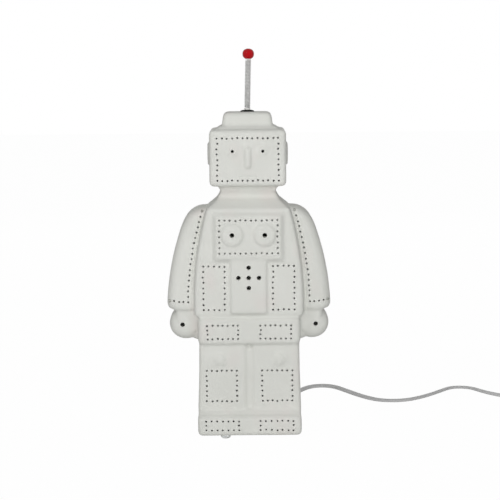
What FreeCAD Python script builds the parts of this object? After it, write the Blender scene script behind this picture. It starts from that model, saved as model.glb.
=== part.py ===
import FreeCAD, Part
import math
import os

# Robot shaped table lamp: one hollow slip-cast porcelain shell with a lampholder on a plate in its
# underside, a sprung antenna on its hat, and a flat two-core cord with an inline switch and a plug.
# Millimetres. +Z is up, the face looks towards -Y and the lamp's own left hand is at +X.
# The origin is on the surface that the lamp stands on, at the middle of its width and depth.

V = FreeCAD.Vector
TURN = 360.0
SAME_PLACE = 1e-6       # two heights closer than this are the same

# Shell, common sizes
SHELL_WALL = 4.0
SEAT_GAP = 0.3          # between a loose piece and its seat
FIT_GAP = 0.05          # radial clearance of a pin or tube in its bore
PAD_HEIGHT = 3.0
SHELL_BOTTOM = PAD_HEIGHT

# Legs
LEG_HALF_WIDTH = 51.0
LEG_TOP_HALF_WIDTH = 50.2
LEG_FRONT = -32.5
LEG_BACK = 34.0
LEG_CORNER_RADIUS = 6.0
LEG_LEAST_RADIUS = 1.0
LEG_OVERLAP = 1.0
KNEE_X = 29.4
KNEE_Z = 78.0
KNEE_RADIUS = 6.5
KNEE_HEIGHT = 1.6

# Shoes, which stand out round the legs
SHOE_SIDE = 1.0
SHOE_TOE = 9.0
SHOE_HEEL = 7.5
SHOE_HALF_WIDTH = LEG_HALF_WIDTH + SHOE_SIDE
SHOE_FRONT = LEG_FRONT - SHOE_TOE
SHOE_BACK = LEG_BACK + SHOE_HEEL
SHOE_TUCK = 1.0         # how far the slope's top lies inside the leg's sides
SHOE_TUCK_FRONT = 0.5
SHOE_SIDE_HEIGHT = 20.3
SHOE_SLOPE_HEIGHT = 5.6
SHOE_EDGE_RADIUS = 4.0

# Hips
HIP_HALF_WIDTH = 51.2
HIP_BOTTOM = 93.0
HIP_FRONT = -36.5
HIP_BACK = 38.0
HIP_EDGE_RADIUS = 3.5
WAIST_Z = 120.7
WAIST_LINE_DEPTH = 0.8

# Torso
TORSO_FRONT = -34.5
TORSO_BACK = 36.0
TORSO_BOTTOM_HALF_WIDTH = 53.5
TORSO_MID_HALF_WIDTH = 50.6
TORSO_MID_Z = 181.0
TORSO_TOP_HALF_WIDTH = 40.6
SHOULDER_Z = 228.0
TORSO_EDGE_RADIUS = 2.0
NECK_HALF_WIDTH = 27.5
NECK_FRONT = -19.0
NECK_BACK = 21.0
NECK_BOTTOM = 238.0
NECK_FOOT = 0.5         # how far the shoulder slope's top stands out round the neck

# Head
HEAD_BOTTOM = 248.7
HEAD_HALF_WIDTH = 37.8
HEAD_FRONT = -31.5
HEAD_BACK = 34.0
HEAD_BROW_Z = 303.4
HEAD_CROWN_Z = 308.2
HEAD_CROWN_HALF_WIDTH = 26.0
HEAD_CROWN_INSET = 9.0
HEAD_EDGE_RADIUS = 3.0
EAR_RADIUS = 11.2
EAR_Z = 279.5
EAR_STAND_OUT = 2.5
EAR_EDGE_RADIUS = 1.6

# Hat
HAT_HALF_WIDTH = 24.8
HAT_TOP_HALF_WIDTH = 23.2
HAT_HALF_DEPTH = 21.0
HAT_TOP_HALF_DEPTH = 19.5
HAT_TOP = 320.4
HAT_EDGE_RADIUS = 3.5

# Sleeves and hands
SLEEVE_TOP = (44.0, 230.0)
SLEEVE_SHOULDER_MID = (60.6, 218.2)
SLEEVE_SHOULDER_END = (69.0, 202.0)
SLEEVE_MID = (77.9, 169.0)
SLEEVE_CUFF = (82.2, 131.0)
CUFF_Z = 126.0
CUFF_CORNER_X = 80.6
SLEEVE_ROOT_INSET = 10.0
SLEEVE_FRONT = -24.5
SLEEVE_BACK = 27.0
SLEEVE_EDGE_RADIUS = 11.0
HAND_X = 62.3
HAND_Z = 109.6
HAND_RADIUS = 17.4
WRIST_PASSAGE_RADIUS = 9.0

# Raised panels and small bosses on the front
CHEST_HALF_WIDTH = 35.3
CHEST_BOTTOM = 175.2
CHEST_TOP = 224.6
CHEST_BEVEL = 3.6
CHEST_RISE = 4.0
APRON_HALF_WIDTH = 18.1
APRON_BOTTOM = 124.0
APRON_RISE = 2.5
PANEL_EDGE_RADIUS = 1.0
PANEL_ROOT = 3.0
DIAL_X = 15.9
DIAL_Z = 202.5
DIAL_RADIUS = 10.5
DIAL_RISE = 1.5
DIAL_EDGE_RADIUS = 1.35
EYE_X = 14.7
EYE_Z = 283.2
EYE_RADIUS = 6.0
EYE_RISE = 0.9
NOSE_TOP_Z = 287.4
NOSE_BOTTOM_Z = 266.8
NOSE_TOP_HALF_WIDTH = 2.5
NOSE_BOTTOM_HALF_WIDTH = 3.2
NOSE_RISE = 2.6
NOSE_EDGE_RADIUS = 1.2
MOUTH_HALF_WIDTH = 9.0
MOUTH_Z = 257.9
MOUTH_DEPTH = 0.5
MOUTH_LINE_RADIUS = 1.0

# Light holes
PINHOLE_RADIUS = 1.0
DIAL_HOLE_RADIUS = 2.35
CROSS_HOLE_RADIUS = 2.25
HAND_HOLE_RADIUS = 2.3
EYE_HOLE_RADIUS = 1.25
CROSS_Z = 160.2
CROSS_STEP = 10.0
HAND_HOLE_X = 65.9
HAND_HOLE_Z = 111.3
DRILL_START = -50.0
DRILL_END = -25.5
SLEEVE_DRILL_LENGTH = 16.0

# Rectangles of pinholes: half width or x range, z range, holes along the top and bottom, holes
# between the corners on each side
FACE_HOLES = (-29.7, 29.7, 254.6, 295.8, 13, 7)
CHEST_HOLES = (-28.2, 28.2, 184.5, 216.9, 12, 5)
POCKET_HOLES = (23.7, 44.5, 128.4, 171.4, 5, 7)
BELT_HOLES = (10.9, 40.9, 99.8, 113.0, 7, 2)
LEG_HOLES = (12.6, 42.1, 36.6, 67.2, 7, 5)
SHOE_HOLES = (10.6, 43.0, 9.2, 18.2, 7, 1)
SLEEVE_ROW_TOP = (45.2, 224.3)
SLEEVE_ROW_MID = (56.0, 179.0)
SLEEVE_ROW_BOTTOM = (60.0, 134.5)
SLEEVE_ROW_COUNT = 18
CUFF_ROW_END_X = 78.8
CUFF_ROW_COUNT = 4
CUFF_ROW_TURN = 62.0

# Cavity inside the shell
CORE_HALF_WIDTH = 38.0
CORE_FRONT = -26.5
CORE_BACK = 28.0
NECK_PASSAGE_OVERLAP = 14.0

# Underside: plate, its opening and the clips
OPENING_RADIUS = 30.0
FLOOR_THICKNESS = 6.4
PLATE_RADIUS = 34.5
PLATE_THICKNESS = 1.2
PLATE_RECESS = 1.8
PLATE_SIDE_GAP = 0.5
CLIP_WIDTH = 9.0
CLIP_THICKNESS = 0.5
CLIP_FOOT = 8.0
CLIP_HEIGHT = 11.0
PAD_RADIUS = 5.0
PAD_PLACES = [(-24.0, -34.5), (38.5, -14.0), (-40.0, 31.0), (40.0, 31.0)]

# Lampholder and bulb, small Edison screw
NIPPLE_RADIUS = 5.0
NIPPLE_BORE_RADIUS = 3.6
NIPPLE_INTO_HOLDER = 5.0
NUT_ACROSS_FLATS = 14.0
NUT_HEIGHT = 2.4
HOLDER_RADIUS = 13.5
HOLDER_WALL = 1.8
HOLDER_BASE_HEIGHT = 14.0
HOLDER_FLOOR = 2.5
HOLDER_ENTRY_RADIUS = 3.4
HOLDER_ENTRY_HEIGHT = 7.5
HOLDER_SLEEVE_ABOVE_SHELL = 6.0
HOLDER_LIP_RADIUS = 9.0
HOLDER_LIP_HEIGHT = 2.0
CORE_FLANGE_HEIGHT = 2.0
CORE_BOSS_RADIUS = 10.5
CORE_BOSS_HEIGHT = 4.0
SCREW_SHELL_RADIUS = 7.1
SCREW_SHELL_WALL = 0.5
SCREW_SHELL_HEIGHT = 19.0
CONTACT_THICKNESS = 0.5
CONTACT_RADIUS = 2.4
CONTACT_RISE = 1.5
TERMINAL_X = 6.0
TERMINAL_RADIUS = 1.5
TERMINAL_HEIGHT = 3.0
CAP_RADIUS = 6.95
CAP_WALL = 0.35
CAP_HEIGHT = 17.0
CAP_INSULATOR_HEIGHT = 2.5
BULB_CONTACT_RADIUS = 2.2
BULB_CONTACT_HEIGHT = 1.6
BULB_RADIUS = 13.0
BULB_NECK_RADIUS = 6.4
BULB_NECK_IN_CAP = 4.0
BULB_LENGTH_ABOVE_CAP = 38.0
BULB_GLASS_WALL = 0.8
BULB_SHOULDER = 40.0    # degrees below the ball's middle, where its neck starts
STEM_RADIUS = 3.0
STEM_TOP_ABOVE_CAP = 12.0
FILAMENT_WIRE_RADIUS = 0.3
FILAMENT_HALF_SPAN = 4.0
FILAMENT_RISE = 10.0

# Antenna
ANTENNA_LEAN = 1.5      # degrees towards +X, as the spring stands at rest
GROMMET_FLANGE_RADIUS = 7.0
GROMMET_DOME_HEIGHT = 1.7
GROMMET_BARREL_RADIUS = 4.3
GROMMET_BORE_RADIUS = 1.9
GROMMET_LOWER_RADIUS = 6.3
GROMMET_LOWER_HEIGHT = 1.5
STUD_RADIUS = 1.5
STUD_BELOW_GROMMET = 5.0
WASHER_RADIUS = 5.0
WASHER_THICKNESS = 0.8
STUD_NUT_FLATS = 5.5
STUD_NUT_HEIGHT = 2.4
COLLAR_RADIUS = 2.95
COLLAR_HEIGHT = 1.6
COLLAR_GAP = 0.15
SPRING_OUTER_RADIUS = 2.9
SPRING_WIRE = 0.7
SPRING_LENGTH = 47.2
SPRING_TURNS = 33
SPRING_CHECK_STEP = 0.5
BEAD_RADIUS = 5.7
BEAD_HALF_HEIGHT = 5.25
BEAD_SUNK = 0.8
TIP_PLUG_RADIUS = 1.3
TIP_FLANGE_RADIUS = 2.9
TIP_FLANGE_HEIGHT = 1.6
TIP_PLUG_INTO_BEAD = 4.0
TIP_PLUG_INTO_SPRING = 4.0

# Cord: flat two-core flex, its solid a plain tube as wide as the flex
CORD_DIAMETER = 5.0
CORD_Z = 2.6
CORD_EXIT_Z = 15.5
BEND_SHARE = 0.45       # of the shorter run that an arc takes
GLAND_RADIUS = 4.2
GLAND_FLANGE_RADIUS = 5.8
GLAND_FLANGE = 2.0
GLAND_LENGTH = 24.0
GLAND_TIP_RADIUS = 3.3
GLAND_THREAD_INSIDE = 5.0
GLAND_NUT_RADIUS = 6.0
GLAND_NUT_HEIGHT = 3.0
INNER_FLEX_RADIUS = 1.1
INNER_FLEX_HALF_SPACING = 1.4
INNER_FLEX_SLACK = 5.0
INNER_FLEX_SHARES = (0.3, 0.5, 0.75)    # where the flex starts to rise, peaks and levels out

# Inline switch, in its own frame: x along the cord, y across, z up
SWITCH_TIP = (324.0, 101.5)
SWITCH_ANGLE = -40.0
SWITCH_AXIS_Z = 6.5
SWITCH_LENGTH = 58.0
SWITCH_WIDTH = 26.0
SWITCH_HEIGHT = 17.0
SWITCH_SPLIT_Z = 8.5
SWITCH_WALL = 1.6
SWITCH_CORNER_RADIUS = 6.0
SWITCH_EDGE_RADIUS = 1.4
SWITCH_RELIEF_LENGTH = 20.0
SWITCH_RELIEF_TIP = 3.2
SWITCH_RELIEF_ROOT = 4.6
SWITCH_SCREW_X = 22.5
SWITCH_SCREW_RADIUS = 1.4
SWITCH_SCREW_HEAD_RADIUS = 2.6
SWITCH_SCREW_HEAD = 1.4
SWITCH_POST_RADIUS = 3.0
ROCKER_LENGTH = 22.0
ROCKER_WIDTH = 11.0
ROCKER_RISE = 2.2
ROCKER_DEPTH = 5.5
ROCKER_GAP = 0.6
ROCKER_PIN_RADIUS = 1.0
ROCKER_PIN_SEAT = 1.5
ROCKER_TILT = 6.0
CONTACT_BAR_LENGTH = 9.0
CONTACT_BAR_WIDTH = 4.0
CONTACT_BAR_HEIGHT = 1.0
CONTACT_BAR_X = 8.5

# Plug, two round pins
PLUG_ANGLE = 68.0
PLUG_BODY_LENGTH = 34.0
PLUG_WIDTH = 35.3
PLUG_SHOULDER_WIDTH = 15.0
PLUG_SHOULDER_LENGTH = 12.0
PLUG_THICKNESS = 13.7
PLUG_EDGE_RADIUS = 3.5
PLUG_PIN_RADIUS = 2.0
PLUG_PIN_LENGTH = 19.0
PLUG_PIN_SPACING = 19.0
PLUG_PIN_ROOT = 8.0
PLUG_PIN_ROOT_RADIUS = 1.6
PLUG_PIN_CHAMFER = 0.7
PLUG_RELIEF_LENGTH = 22.0
PLUG_RELIEF_ROOT = 5.0
PLUG_RELIEF_TIP = 3.3

# Put-away coil: two layers, wound in and out again
COIL_CENTRE = (401.0, 122.0)
COIL_MID_RADIUS = 27.5
COIL_STEP = 5.8
COIL_LAYER_STEP = 6.0
COIL_TURNS_PER_LAYER = 3.25
COIL_CHECK_STEP = 4.0

# Routes of the cord's free stretches, as corner points
CORD_NEAR_ROUTE = [
    (0.0, 67.5, CORD_EXIT_Z),
    (0.0, 88.0, CORD_EXIT_Z),
    (10.0, 111.0, 3.6),
    (30.0, 127.0, CORD_Z),
    (49.0, 147.0, CORD_Z),
    (63.0, 181.0, CORD_Z),
    (78.0, 189.5, CORD_Z),
    (94.0, 185.0, CORD_Z),
    (108.0, 162.0, CORD_Z),
    (123.0, 135.0, CORD_Z),
    (141.0, 116.0, CORD_Z),
    (168.0, 114.0, CORD_Z),
    (191.0, 133.0, CORD_Z),
    (211.0, 157.0, CORD_Z),
    (226.0, 176.5, CORD_Z),
    (248.0, 175.5, CORD_Z),
    (262.0, 152.0, CORD_Z),
    (278.0, 134.5, CORD_Z),
    (294.0, 124.0, CORD_Z),
]
CORD_RISE_RUN = 14.0
CORD_FAR_ROUTE = [
    (424.0, 18.0, CORD_Z),
    (443.0, 19.0, CORD_Z),
    (456.0, 34.0, CORD_Z),
    (457.0, 55.0, CORD_Z),
    (448.0, 78.0, CORD_Z),
    (437.6, 95.0, CORD_Z),
]
CORD_TAIL_BEND = (440.5, 152.0)

os.makedirs("parts", exist_ok=True)
NODES = {}


def save(name, shape):
    """Write one node and keep it for the pieces that follow."""
    NODES[name] = shape
    shape.exportStep("parts/%s.step" % name)


def fuse(shapes):
    """One solid from overlapping shapes."""
    first = shapes[0]
    return first.fuse(shapes[1:]).removeSplitter()


def mirror_x(shape):
    """The same shape on the other side of the lamp."""
    return shape.mirror(V(0, 0, 0), V(1, 0, 0))


def rectangle_z(half_x, y_front, y_back, z):
    """Rectangular wire at one height, symmetric in x."""
    corners = [
        V(-half_x, y_front, z),
        V(half_x, y_front, z),
        V(half_x, y_back, z),
        V(-half_x, y_back, z),
    ]
    return Part.makePolygon(corners + corners[:1])


def stacked_block(levels, radius):
    """Straight-sided block through rectangles (z, half_x, y_front, y_back), all edges rounded."""
    wires = [rectangle_z(half_x, front, back, z) for z, half_x, front, back in levels]
    block = Part.makeLoft(wires, True, True)
    if radius > 0:
        block = block.makeFillet(radius, block.Edges)
    return block


def inner_levels(levels, wall):
    """The same block one wall further in."""
    inner = [[z, half_x - wall, front + wall, back - wall] for z, half_x, front, back in levels]
    inner[0][0] += wall
    inner[-1][0] -= wall
    return [tuple(level) for level in inner]


def outline_face(start, steps, y):
    """Face in the plane y: a step is the (x, z) end of a line, or the middle and end of an arc."""
    here = V(start[0], y, start[1])
    edges = []
    for step in steps:
        if isinstance(step[0], tuple):
            middle, end = step
            there = V(end[0], y, end[1])
            edges.append(Part.Arc(here, V(middle[0], y, middle[1]), there).toShape())
        else:
            there = V(step[0], y, step[1])
            edges.append(Part.LineSegment(here, there).toShape())
        here = there
    return Part.Face(Part.Wire(edges))


def slab(face, depth):
    """Face extruded towards +Y."""
    return face.extrude(V(0, depth, 0))


def cylinder_y(x, z, y_start, y_end, radius):
    """Cylinder along Y."""
    return Part.makeCylinder(radius, y_end - y_start, V(x, y_start, z), V(0, 1, 0))


def cap_dome(x, z, face_y, radius, rise):
    """Ball that shows as a low dome of this radius and rise on a face that looks to -Y."""
    ball = (radius * radius + rise * rise) / (2 * rise)
    return Part.makeSphere(ball, V(x, face_y - rise + ball, z))


def tube(outer, inner, height, z):
    """Upright tube."""
    body = Part.makeCylinder(outer, height, V(0, 0, z))
    return body.cut(Part.makeCylinder(inner, height, V(0, 0, z)))


def hexagon(across_flats, height, z, bore):
    """Upright hexagon nut with a bore."""
    radius = across_flats / math.sqrt(3)
    corners = []
    for side in range(6):
        angle = math.radians(60 * side)
        corners.append(V(radius * math.cos(angle), radius * math.sin(angle), z))
    prism = Part.Face(Part.makePolygon(corners + corners[:1])).extrude(V(0, 0, height))
    return prism.cut(Part.makeCylinder(bore, height, V(0, 0, z)))


# Shell: outside

SHOE_SLOPE_Z = SHELL_BOTTOM + SHOE_SIDE_HEIGHT
SHOE_TOP = SHOE_SLOPE_Z + SHOE_SLOPE_HEIGHT
SHOE_LEVELS = [
    (SHELL_BOTTOM, SHOE_HALF_WIDTH, SHOE_FRONT, SHOE_BACK),
    (SHOE_SLOPE_Z, SHOE_HALF_WIDTH, SHOE_FRONT, SHOE_BACK),
    (SHOE_TOP, LEG_HALF_WIDTH - SHOE_TUCK, LEG_FRONT + SHOE_TUCK_FRONT, LEG_BACK - SHOE_TUCK_FRONT),
]
HIP_LEVELS = [
    (HIP_BOTTOM, HIP_HALF_WIDTH, HIP_FRONT, HIP_BACK),
    (WAIST_Z, HIP_HALF_WIDTH, HIP_FRONT, HIP_BACK),
]
SHOULDER_LEVELS = [
    (SHOULDER_Z - CHEST_RISE, TORSO_TOP_HALF_WIDTH, TORSO_FRONT, TORSO_BACK),
    (SHOULDER_Z, TORSO_TOP_HALF_WIDTH, TORSO_FRONT, TORSO_BACK),
    (NECK_BOTTOM, NECK_HALF_WIDTH + NECK_FOOT, NECK_FRONT - NECK_FOOT, NECK_BACK + NECK_FOOT),
]
HEAD_LEVELS = [
    (HEAD_BOTTOM, HEAD_HALF_WIDTH, HEAD_FRONT, HEAD_BACK),
    (HEAD_BROW_Z, HEAD_HALF_WIDTH, HEAD_FRONT, HEAD_BACK),
    (HEAD_CROWN_Z, HEAD_CROWN_HALF_WIDTH, HEAD_FRONT + HEAD_CROWN_INSET, HEAD_BACK - HEAD_CROWN_INSET),
]
HAT_LEVELS = [
    (HEAD_CROWN_Z - 2 * SHELL_WALL, HAT_HALF_WIDTH, -HAT_HALF_DEPTH, HAT_HALF_DEPTH),
    (HEAD_CROWN_Z, HAT_HALF_WIDTH, -HAT_HALF_DEPTH, HAT_HALF_DEPTH),
    (HAT_TOP, HAT_TOP_HALF_WIDTH, -HAT_TOP_HALF_DEPTH, HAT_TOP_HALF_DEPTH),
]


def leg(inset, z_low, z_high):
    """Right leg block; the two overlap a little in the middle, which leaves the soft groove."""
    middle = (LEG_HALF_WIDTH - LEG_OVERLAP) / 2
    low = Part.makePolygon([
        V(-LEG_OVERLAP + inset, LEG_FRONT + inset, z_low),
        V(LEG_HALF_WIDTH - inset, LEG_FRONT + inset, z_low),
        V(LEG_HALF_WIDTH - inset, LEG_BACK - inset, z_low),
        V(-LEG_OVERLAP + inset, LEG_BACK - inset, z_low),
        V(-LEG_OVERLAP + inset, LEG_FRONT + inset, z_low),
    ])
    high = Part.makePolygon([
        V(-LEG_OVERLAP + inset, LEG_FRONT + inset, z_high),
        V(LEG_TOP_HALF_WIDTH - inset, LEG_FRONT + inset, z_high),
        V(LEG_TOP_HALF_WIDTH - inset, LEG_BACK - inset, z_high),
        V(-LEG_OVERLAP + inset, LEG_BACK - inset, z_high),
        V(-LEG_OVERLAP + inset, LEG_FRONT + inset, z_high),
    ])
    block = Part.makeLoft([low, high], True, True)
    upright = []
    for edge in block.Edges:
        if abs(edge.Vertexes[0].Z - edge.Vertexes[1].Z) > middle / 2:
            upright.append(edge)
    return block.makeFillet(max(LEG_CORNER_RADIUS - inset, LEG_LEAST_RADIUS), upright)


def torso_face(inset, z_low):
    """Front outline of the torso at the plane of its front, one inset further in."""
    steps = [
        (TORSO_BOTTOM_HALF_WIDTH - inset, z_low),
        ((TORSO_MID_HALF_WIDTH - inset, TORSO_MID_Z), (TORSO_TOP_HALF_WIDTH - inset, SHOULDER_Z - inset)),
        (-TORSO_TOP_HALF_WIDTH + inset, SHOULDER_Z - inset),
        ((-TORSO_MID_HALF_WIDTH + inset, TORSO_MID_Z), (-TORSO_BOTTOM_HALF_WIDTH + inset, z_low)),
    ]
    return outline_face((-TORSO_BOTTOM_HALF_WIDTH + inset, z_low), steps, TORSO_FRONT + inset)


def sleeve_face():
    """Front outline of the lamp's sleeve at +X."""
    root_low = TORSO_BOTTOM_HALF_WIDTH - SLEEVE_ROOT_INSET
    root_high = TORSO_TOP_HALF_WIDTH - SLEEVE_ROOT_INSET
    steps = [
        (CUFF_CORNER_X, CUFF_Z),
        SLEEVE_CUFF,
        (SLEEVE_MID, SLEEVE_SHOULDER_END),
        (SLEEVE_SHOULDER_MID, SLEEVE_TOP),
        (root_high, SLEEVE_TOP[1] - SLEEVE_ROOT_INSET),
        (root_low, CUFF_Z),
    ]
    return outline_face((root_low, CUFF_Z), steps, SLEEVE_FRONT)


def long_rim_edges(solid, y):
    """Edges of a slab that lie in the plane y, are arcs and so belong to its outer side."""
    found = []
    for edge in solid.Edges:
        in_plane = all(abs(vertex.Y - y) < SAME_PLACE for vertex in edge.Vertexes)
        if in_plane and isinstance(edge.Curve, Part.Circle):
            found.append(edge)
    return found


def sleeve_outside():
    """Sleeve with a soft outer side."""
    block = slab(sleeve_face(), SLEEVE_BACK - SLEEVE_FRONT)
    rims = long_rim_edges(block, SLEEVE_FRONT) + long_rim_edges(block, SLEEVE_BACK)
    return block.makeFillet(SLEEVE_EDGE_RADIUS, rims)


def sleeve_inside():
    """Hollow of the sleeve."""
    face = sleeve_face().makeOffset2D(-SHELL_WALL)
    face.translate(V(0, SHELL_WALL, 0))
    return slab(face, SLEEVE_BACK - SLEEVE_FRONT - 2 * SHELL_WALL)


def chest_panel():
    """Raised chest panel with a bevel all round."""
    def frame(inset, y):
        low = CHEST_BOTTOM + inset
        high = CHEST_TOP - inset
        half = CHEST_HALF_WIDTH - inset
        corners = [V(-half, y, low), V(half, y, low), V(half, y, high), V(-half, y, high)]
        return Part.makePolygon(corners + corners[:1])

    wires = [
        frame(0, TORSO_FRONT + PANEL_ROOT),
        frame(0, TORSO_FRONT),
        frame(CHEST_BEVEL, TORSO_FRONT - CHEST_RISE),
    ]
    panel = Part.makeLoft(wires, True, True)
    return panel.makeFillet(PANEL_EDGE_RADIUS, panel.Edges)


def apron_panel():
    """Raised apron panel under the chest panel."""
    height = CHEST_BOTTOM + CHEST_BEVEL - APRON_BOTTOM
    panel = Part.makeBox(
        2 * APRON_HALF_WIDTH,
        APRON_RISE + PANEL_ROOT,
        height,
        V(-APRON_HALF_WIDTH, TORSO_FRONT - APRON_RISE, APRON_BOTTOM),
    )
    return panel.makeFillet(2 * PANEL_EDGE_RADIUS, panel.Edges)


def dial_boss():
    """Low round boss of a dial."""
    face = TORSO_FRONT - CHEST_RISE
    boss = cylinder_y(DIAL_X, DIAL_Z, face - DIAL_RISE, face + PANEL_ROOT, DIAL_RADIUS)
    front = [edge for edge in boss.Edges if edge.BoundBox.YMax < face]
    return boss.makeFillet(DIAL_EDGE_RADIUS, front)


def nose():
    """Raised nose bar, a little wider at its lower end."""
    steps = [
        (NOSE_BOTTOM_HALF_WIDTH, NOSE_BOTTOM_Z),
        (NOSE_TOP_HALF_WIDTH, NOSE_TOP_Z),
        (-NOSE_TOP_HALF_WIDTH, NOSE_TOP_Z),
        (-NOSE_BOTTOM_HALF_WIDTH, NOSE_BOTTOM_Z),
    ]
    face = outline_face((-NOSE_BOTTOM_HALF_WIDTH, NOSE_BOTTOM_Z), steps, HEAD_FRONT - NOSE_RISE)
    bar = slab(face, NOSE_RISE + PANEL_ROOT)
    return bar.makeFillet(NOSE_EDGE_RADIUS, bar.Edges)


def ear():
    """Round ear disc on the side of the head."""
    reach = EAR_STAND_OUT + PANEL_ROOT
    start = V(HEAD_HALF_WIDTH - PANEL_ROOT, 0, EAR_Z)
    disc = Part.makeCylinder(EAR_RADIUS, reach, start, V(1, 0, 0))
    outer = [edge for edge in disc.Edges if edge.BoundBox.XMin > start.x + reach - FIT_GAP]
    return disc.makeFillet(EAR_EDGE_RADIUS, outer)


def shell_outside():
    """Everything that shows, as one solid body of porcelain."""
    right_leg = leg(0, SHOE_SLOPE_Z, HIP_BOTTOM + HIP_EDGE_RADIUS * 2)
    torso = slab(torso_face(0, WAIST_Z), TORSO_BACK - TORSO_FRONT)
    torso = torso.makeFillet(TORSO_EDGE_RADIUS, torso.Edges)
    hips = stacked_block(HIP_LEVELS, HIP_EDGE_RADIUS)
    waist = Part.makeBox(
        2 * (HIP_HALF_WIDTH - WAIST_LINE_DEPTH),
        HIP_BACK - HIP_FRONT - 2 * (HIP_BACK - TORSO_BACK) - 2 * WAIST_LINE_DEPTH,
        4 * HIP_EDGE_RADIUS,
        V(
            -HIP_HALF_WIDTH + WAIST_LINE_DEPTH,
            TORSO_FRONT + WAIST_LINE_DEPTH,
            WAIST_Z - 2 * HIP_EDGE_RADIUS,
        ),
    )
    neck = stacked_block(
        [
            (NECK_BOTTOM - NECK_PASSAGE_OVERLAP, NECK_HALF_WIDTH, NECK_FRONT, NECK_BACK),
            (HEAD_BOTTOM + NECK_PASSAGE_OVERLAP, NECK_HALF_WIDTH, NECK_FRONT, NECK_BACK),
        ],
        HEAD_EDGE_RADIUS,
    )
    sleeve = sleeve_outside()
    hand = Part.makeSphere(HAND_RADIUS, V(HAND_X, 0, HAND_Z))
    knee = cap_dome(KNEE_X, KNEE_Z, LEG_FRONT, KNEE_RADIUS, KNEE_HEIGHT)
    eye = cap_dome(EYE_X, EYE_Z, HEAD_FRONT, EYE_RADIUS, EYE_RISE)
    singles = [
        stacked_block(SHOE_LEVELS, SHOE_EDGE_RADIUS),
        hips,
        waist,
        torso,
        stacked_block(SHOULDER_LEVELS, TORSO_EDGE_RADIUS),
        neck,
        stacked_block(HEAD_LEVELS, HEAD_EDGE_RADIUS),
        stacked_block(HAT_LEVELS, HAT_EDGE_RADIUS),
        chest_panel(),
        apron_panel(),
        nose(),
    ]
    pairs = [right_leg, sleeve, hand, knee, eye, dial_boss(), ear()]
    return fuse(singles + pairs + [mirror_x(shape) for shape in pairs])


# Shell: inside


def shell_inside():
    """The hollow that slip casting leaves, open to the underside."""
    wall = SHELL_WALL
    shoe_inner = inner_levels(SHOE_LEVELS, wall)
    shoe_inner[0] = (SHELL_BOTTOM + FLOOR_THICKNESS,) + shoe_inner[0][1:]
    head_inner = inner_levels(HEAD_LEVELS, wall)
    hat_inner = inner_levels(HAT_LEVELS, wall)
    hat_inner = [hat_inner[0], hat_inner[-1]]
    right_leg = leg(wall, SHOE_SLOPE_Z - wall, HIP_BOTTOM + 2 * wall)
    torso = slab(torso_face(wall, WAIST_Z + wall), TORSO_BACK - TORSO_FRONT - 2 * wall)
    core = stacked_block(
        [
            (SHOE_SLOPE_Z, CORE_HALF_WIDTH, CORE_FRONT, CORE_BACK),
            (WAIST_Z + 2 * wall, CORE_HALF_WIDTH, CORE_FRONT, CORE_BACK),
        ],
        0,
    )
    neck = stacked_block(
        [
            (SHOULDER_Z - 2 * wall, NECK_HALF_WIDTH - wall, NECK_FRONT + wall, NECK_BACK - wall),
            (HEAD_BOTTOM + 2 * wall, NECK_HALF_WIDTH - wall, NECK_FRONT + wall, NECK_BACK - wall),
        ],
        0,
    )
    hand = Part.makeSphere(HAND_RADIUS - wall, V(HAND_X, 0, HAND_Z))
    wrist = Part.makeCylinder(WRIST_PASSAGE_RADIUS, CUFF_Z - HAND_Z + 3 * wall, V(HAND_X, 0, HAND_Z))
    opening = Part.makeCylinder(OPENING_RADIUS, SHOE_TOP, V(0, 0, 0))
    pairs = [right_leg, sleeve_inside(), hand, wrist]
    singles = [
        stacked_block(shoe_inner, 0),
        stacked_block(inner_levels(HIP_LEVELS, wall), 0),
        core,
        torso,
        neck,
        stacked_block(head_inner, 0),
        stacked_block(hat_inner, 0),
        opening,
    ]
    return fuse(singles + pairs + [mirror_x(shape) for shape in pairs])


# Shell: holes


def rectangle_places(x_low, x_high, z_low, z_high, across, between):
    """Hole centres along a rectangle: rows at top and bottom, and holes between on each side."""
    places = []
    for index in range(across):
        x = x_low + (x_high - x_low) * index / (across - 1)
        places += [(x, z_low), (x, z_high)]
    for index in range(1, between + 1):
        z = z_low + (z_high - z_low) * index / (between + 1)
        places += [(x_low, z), (x_high, z)]
    return places


def front_pinholes():
    """All pinholes that go straight through the front."""
    places = rectangle_places(*FACE_HOLES) + rectangle_places(*CHEST_HOLES)
    for holes in (POCKET_HOLES, BELT_HOLES, LEG_HOLES, SHOE_HOLES):
        for x, z in rectangle_places(*holes):
            places += [(x, z), (-x, z)]
    return [cylinder_y(x, z, DRILL_START, DRILL_END, PINHOLE_RADIUS) for x, z in places]


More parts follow.
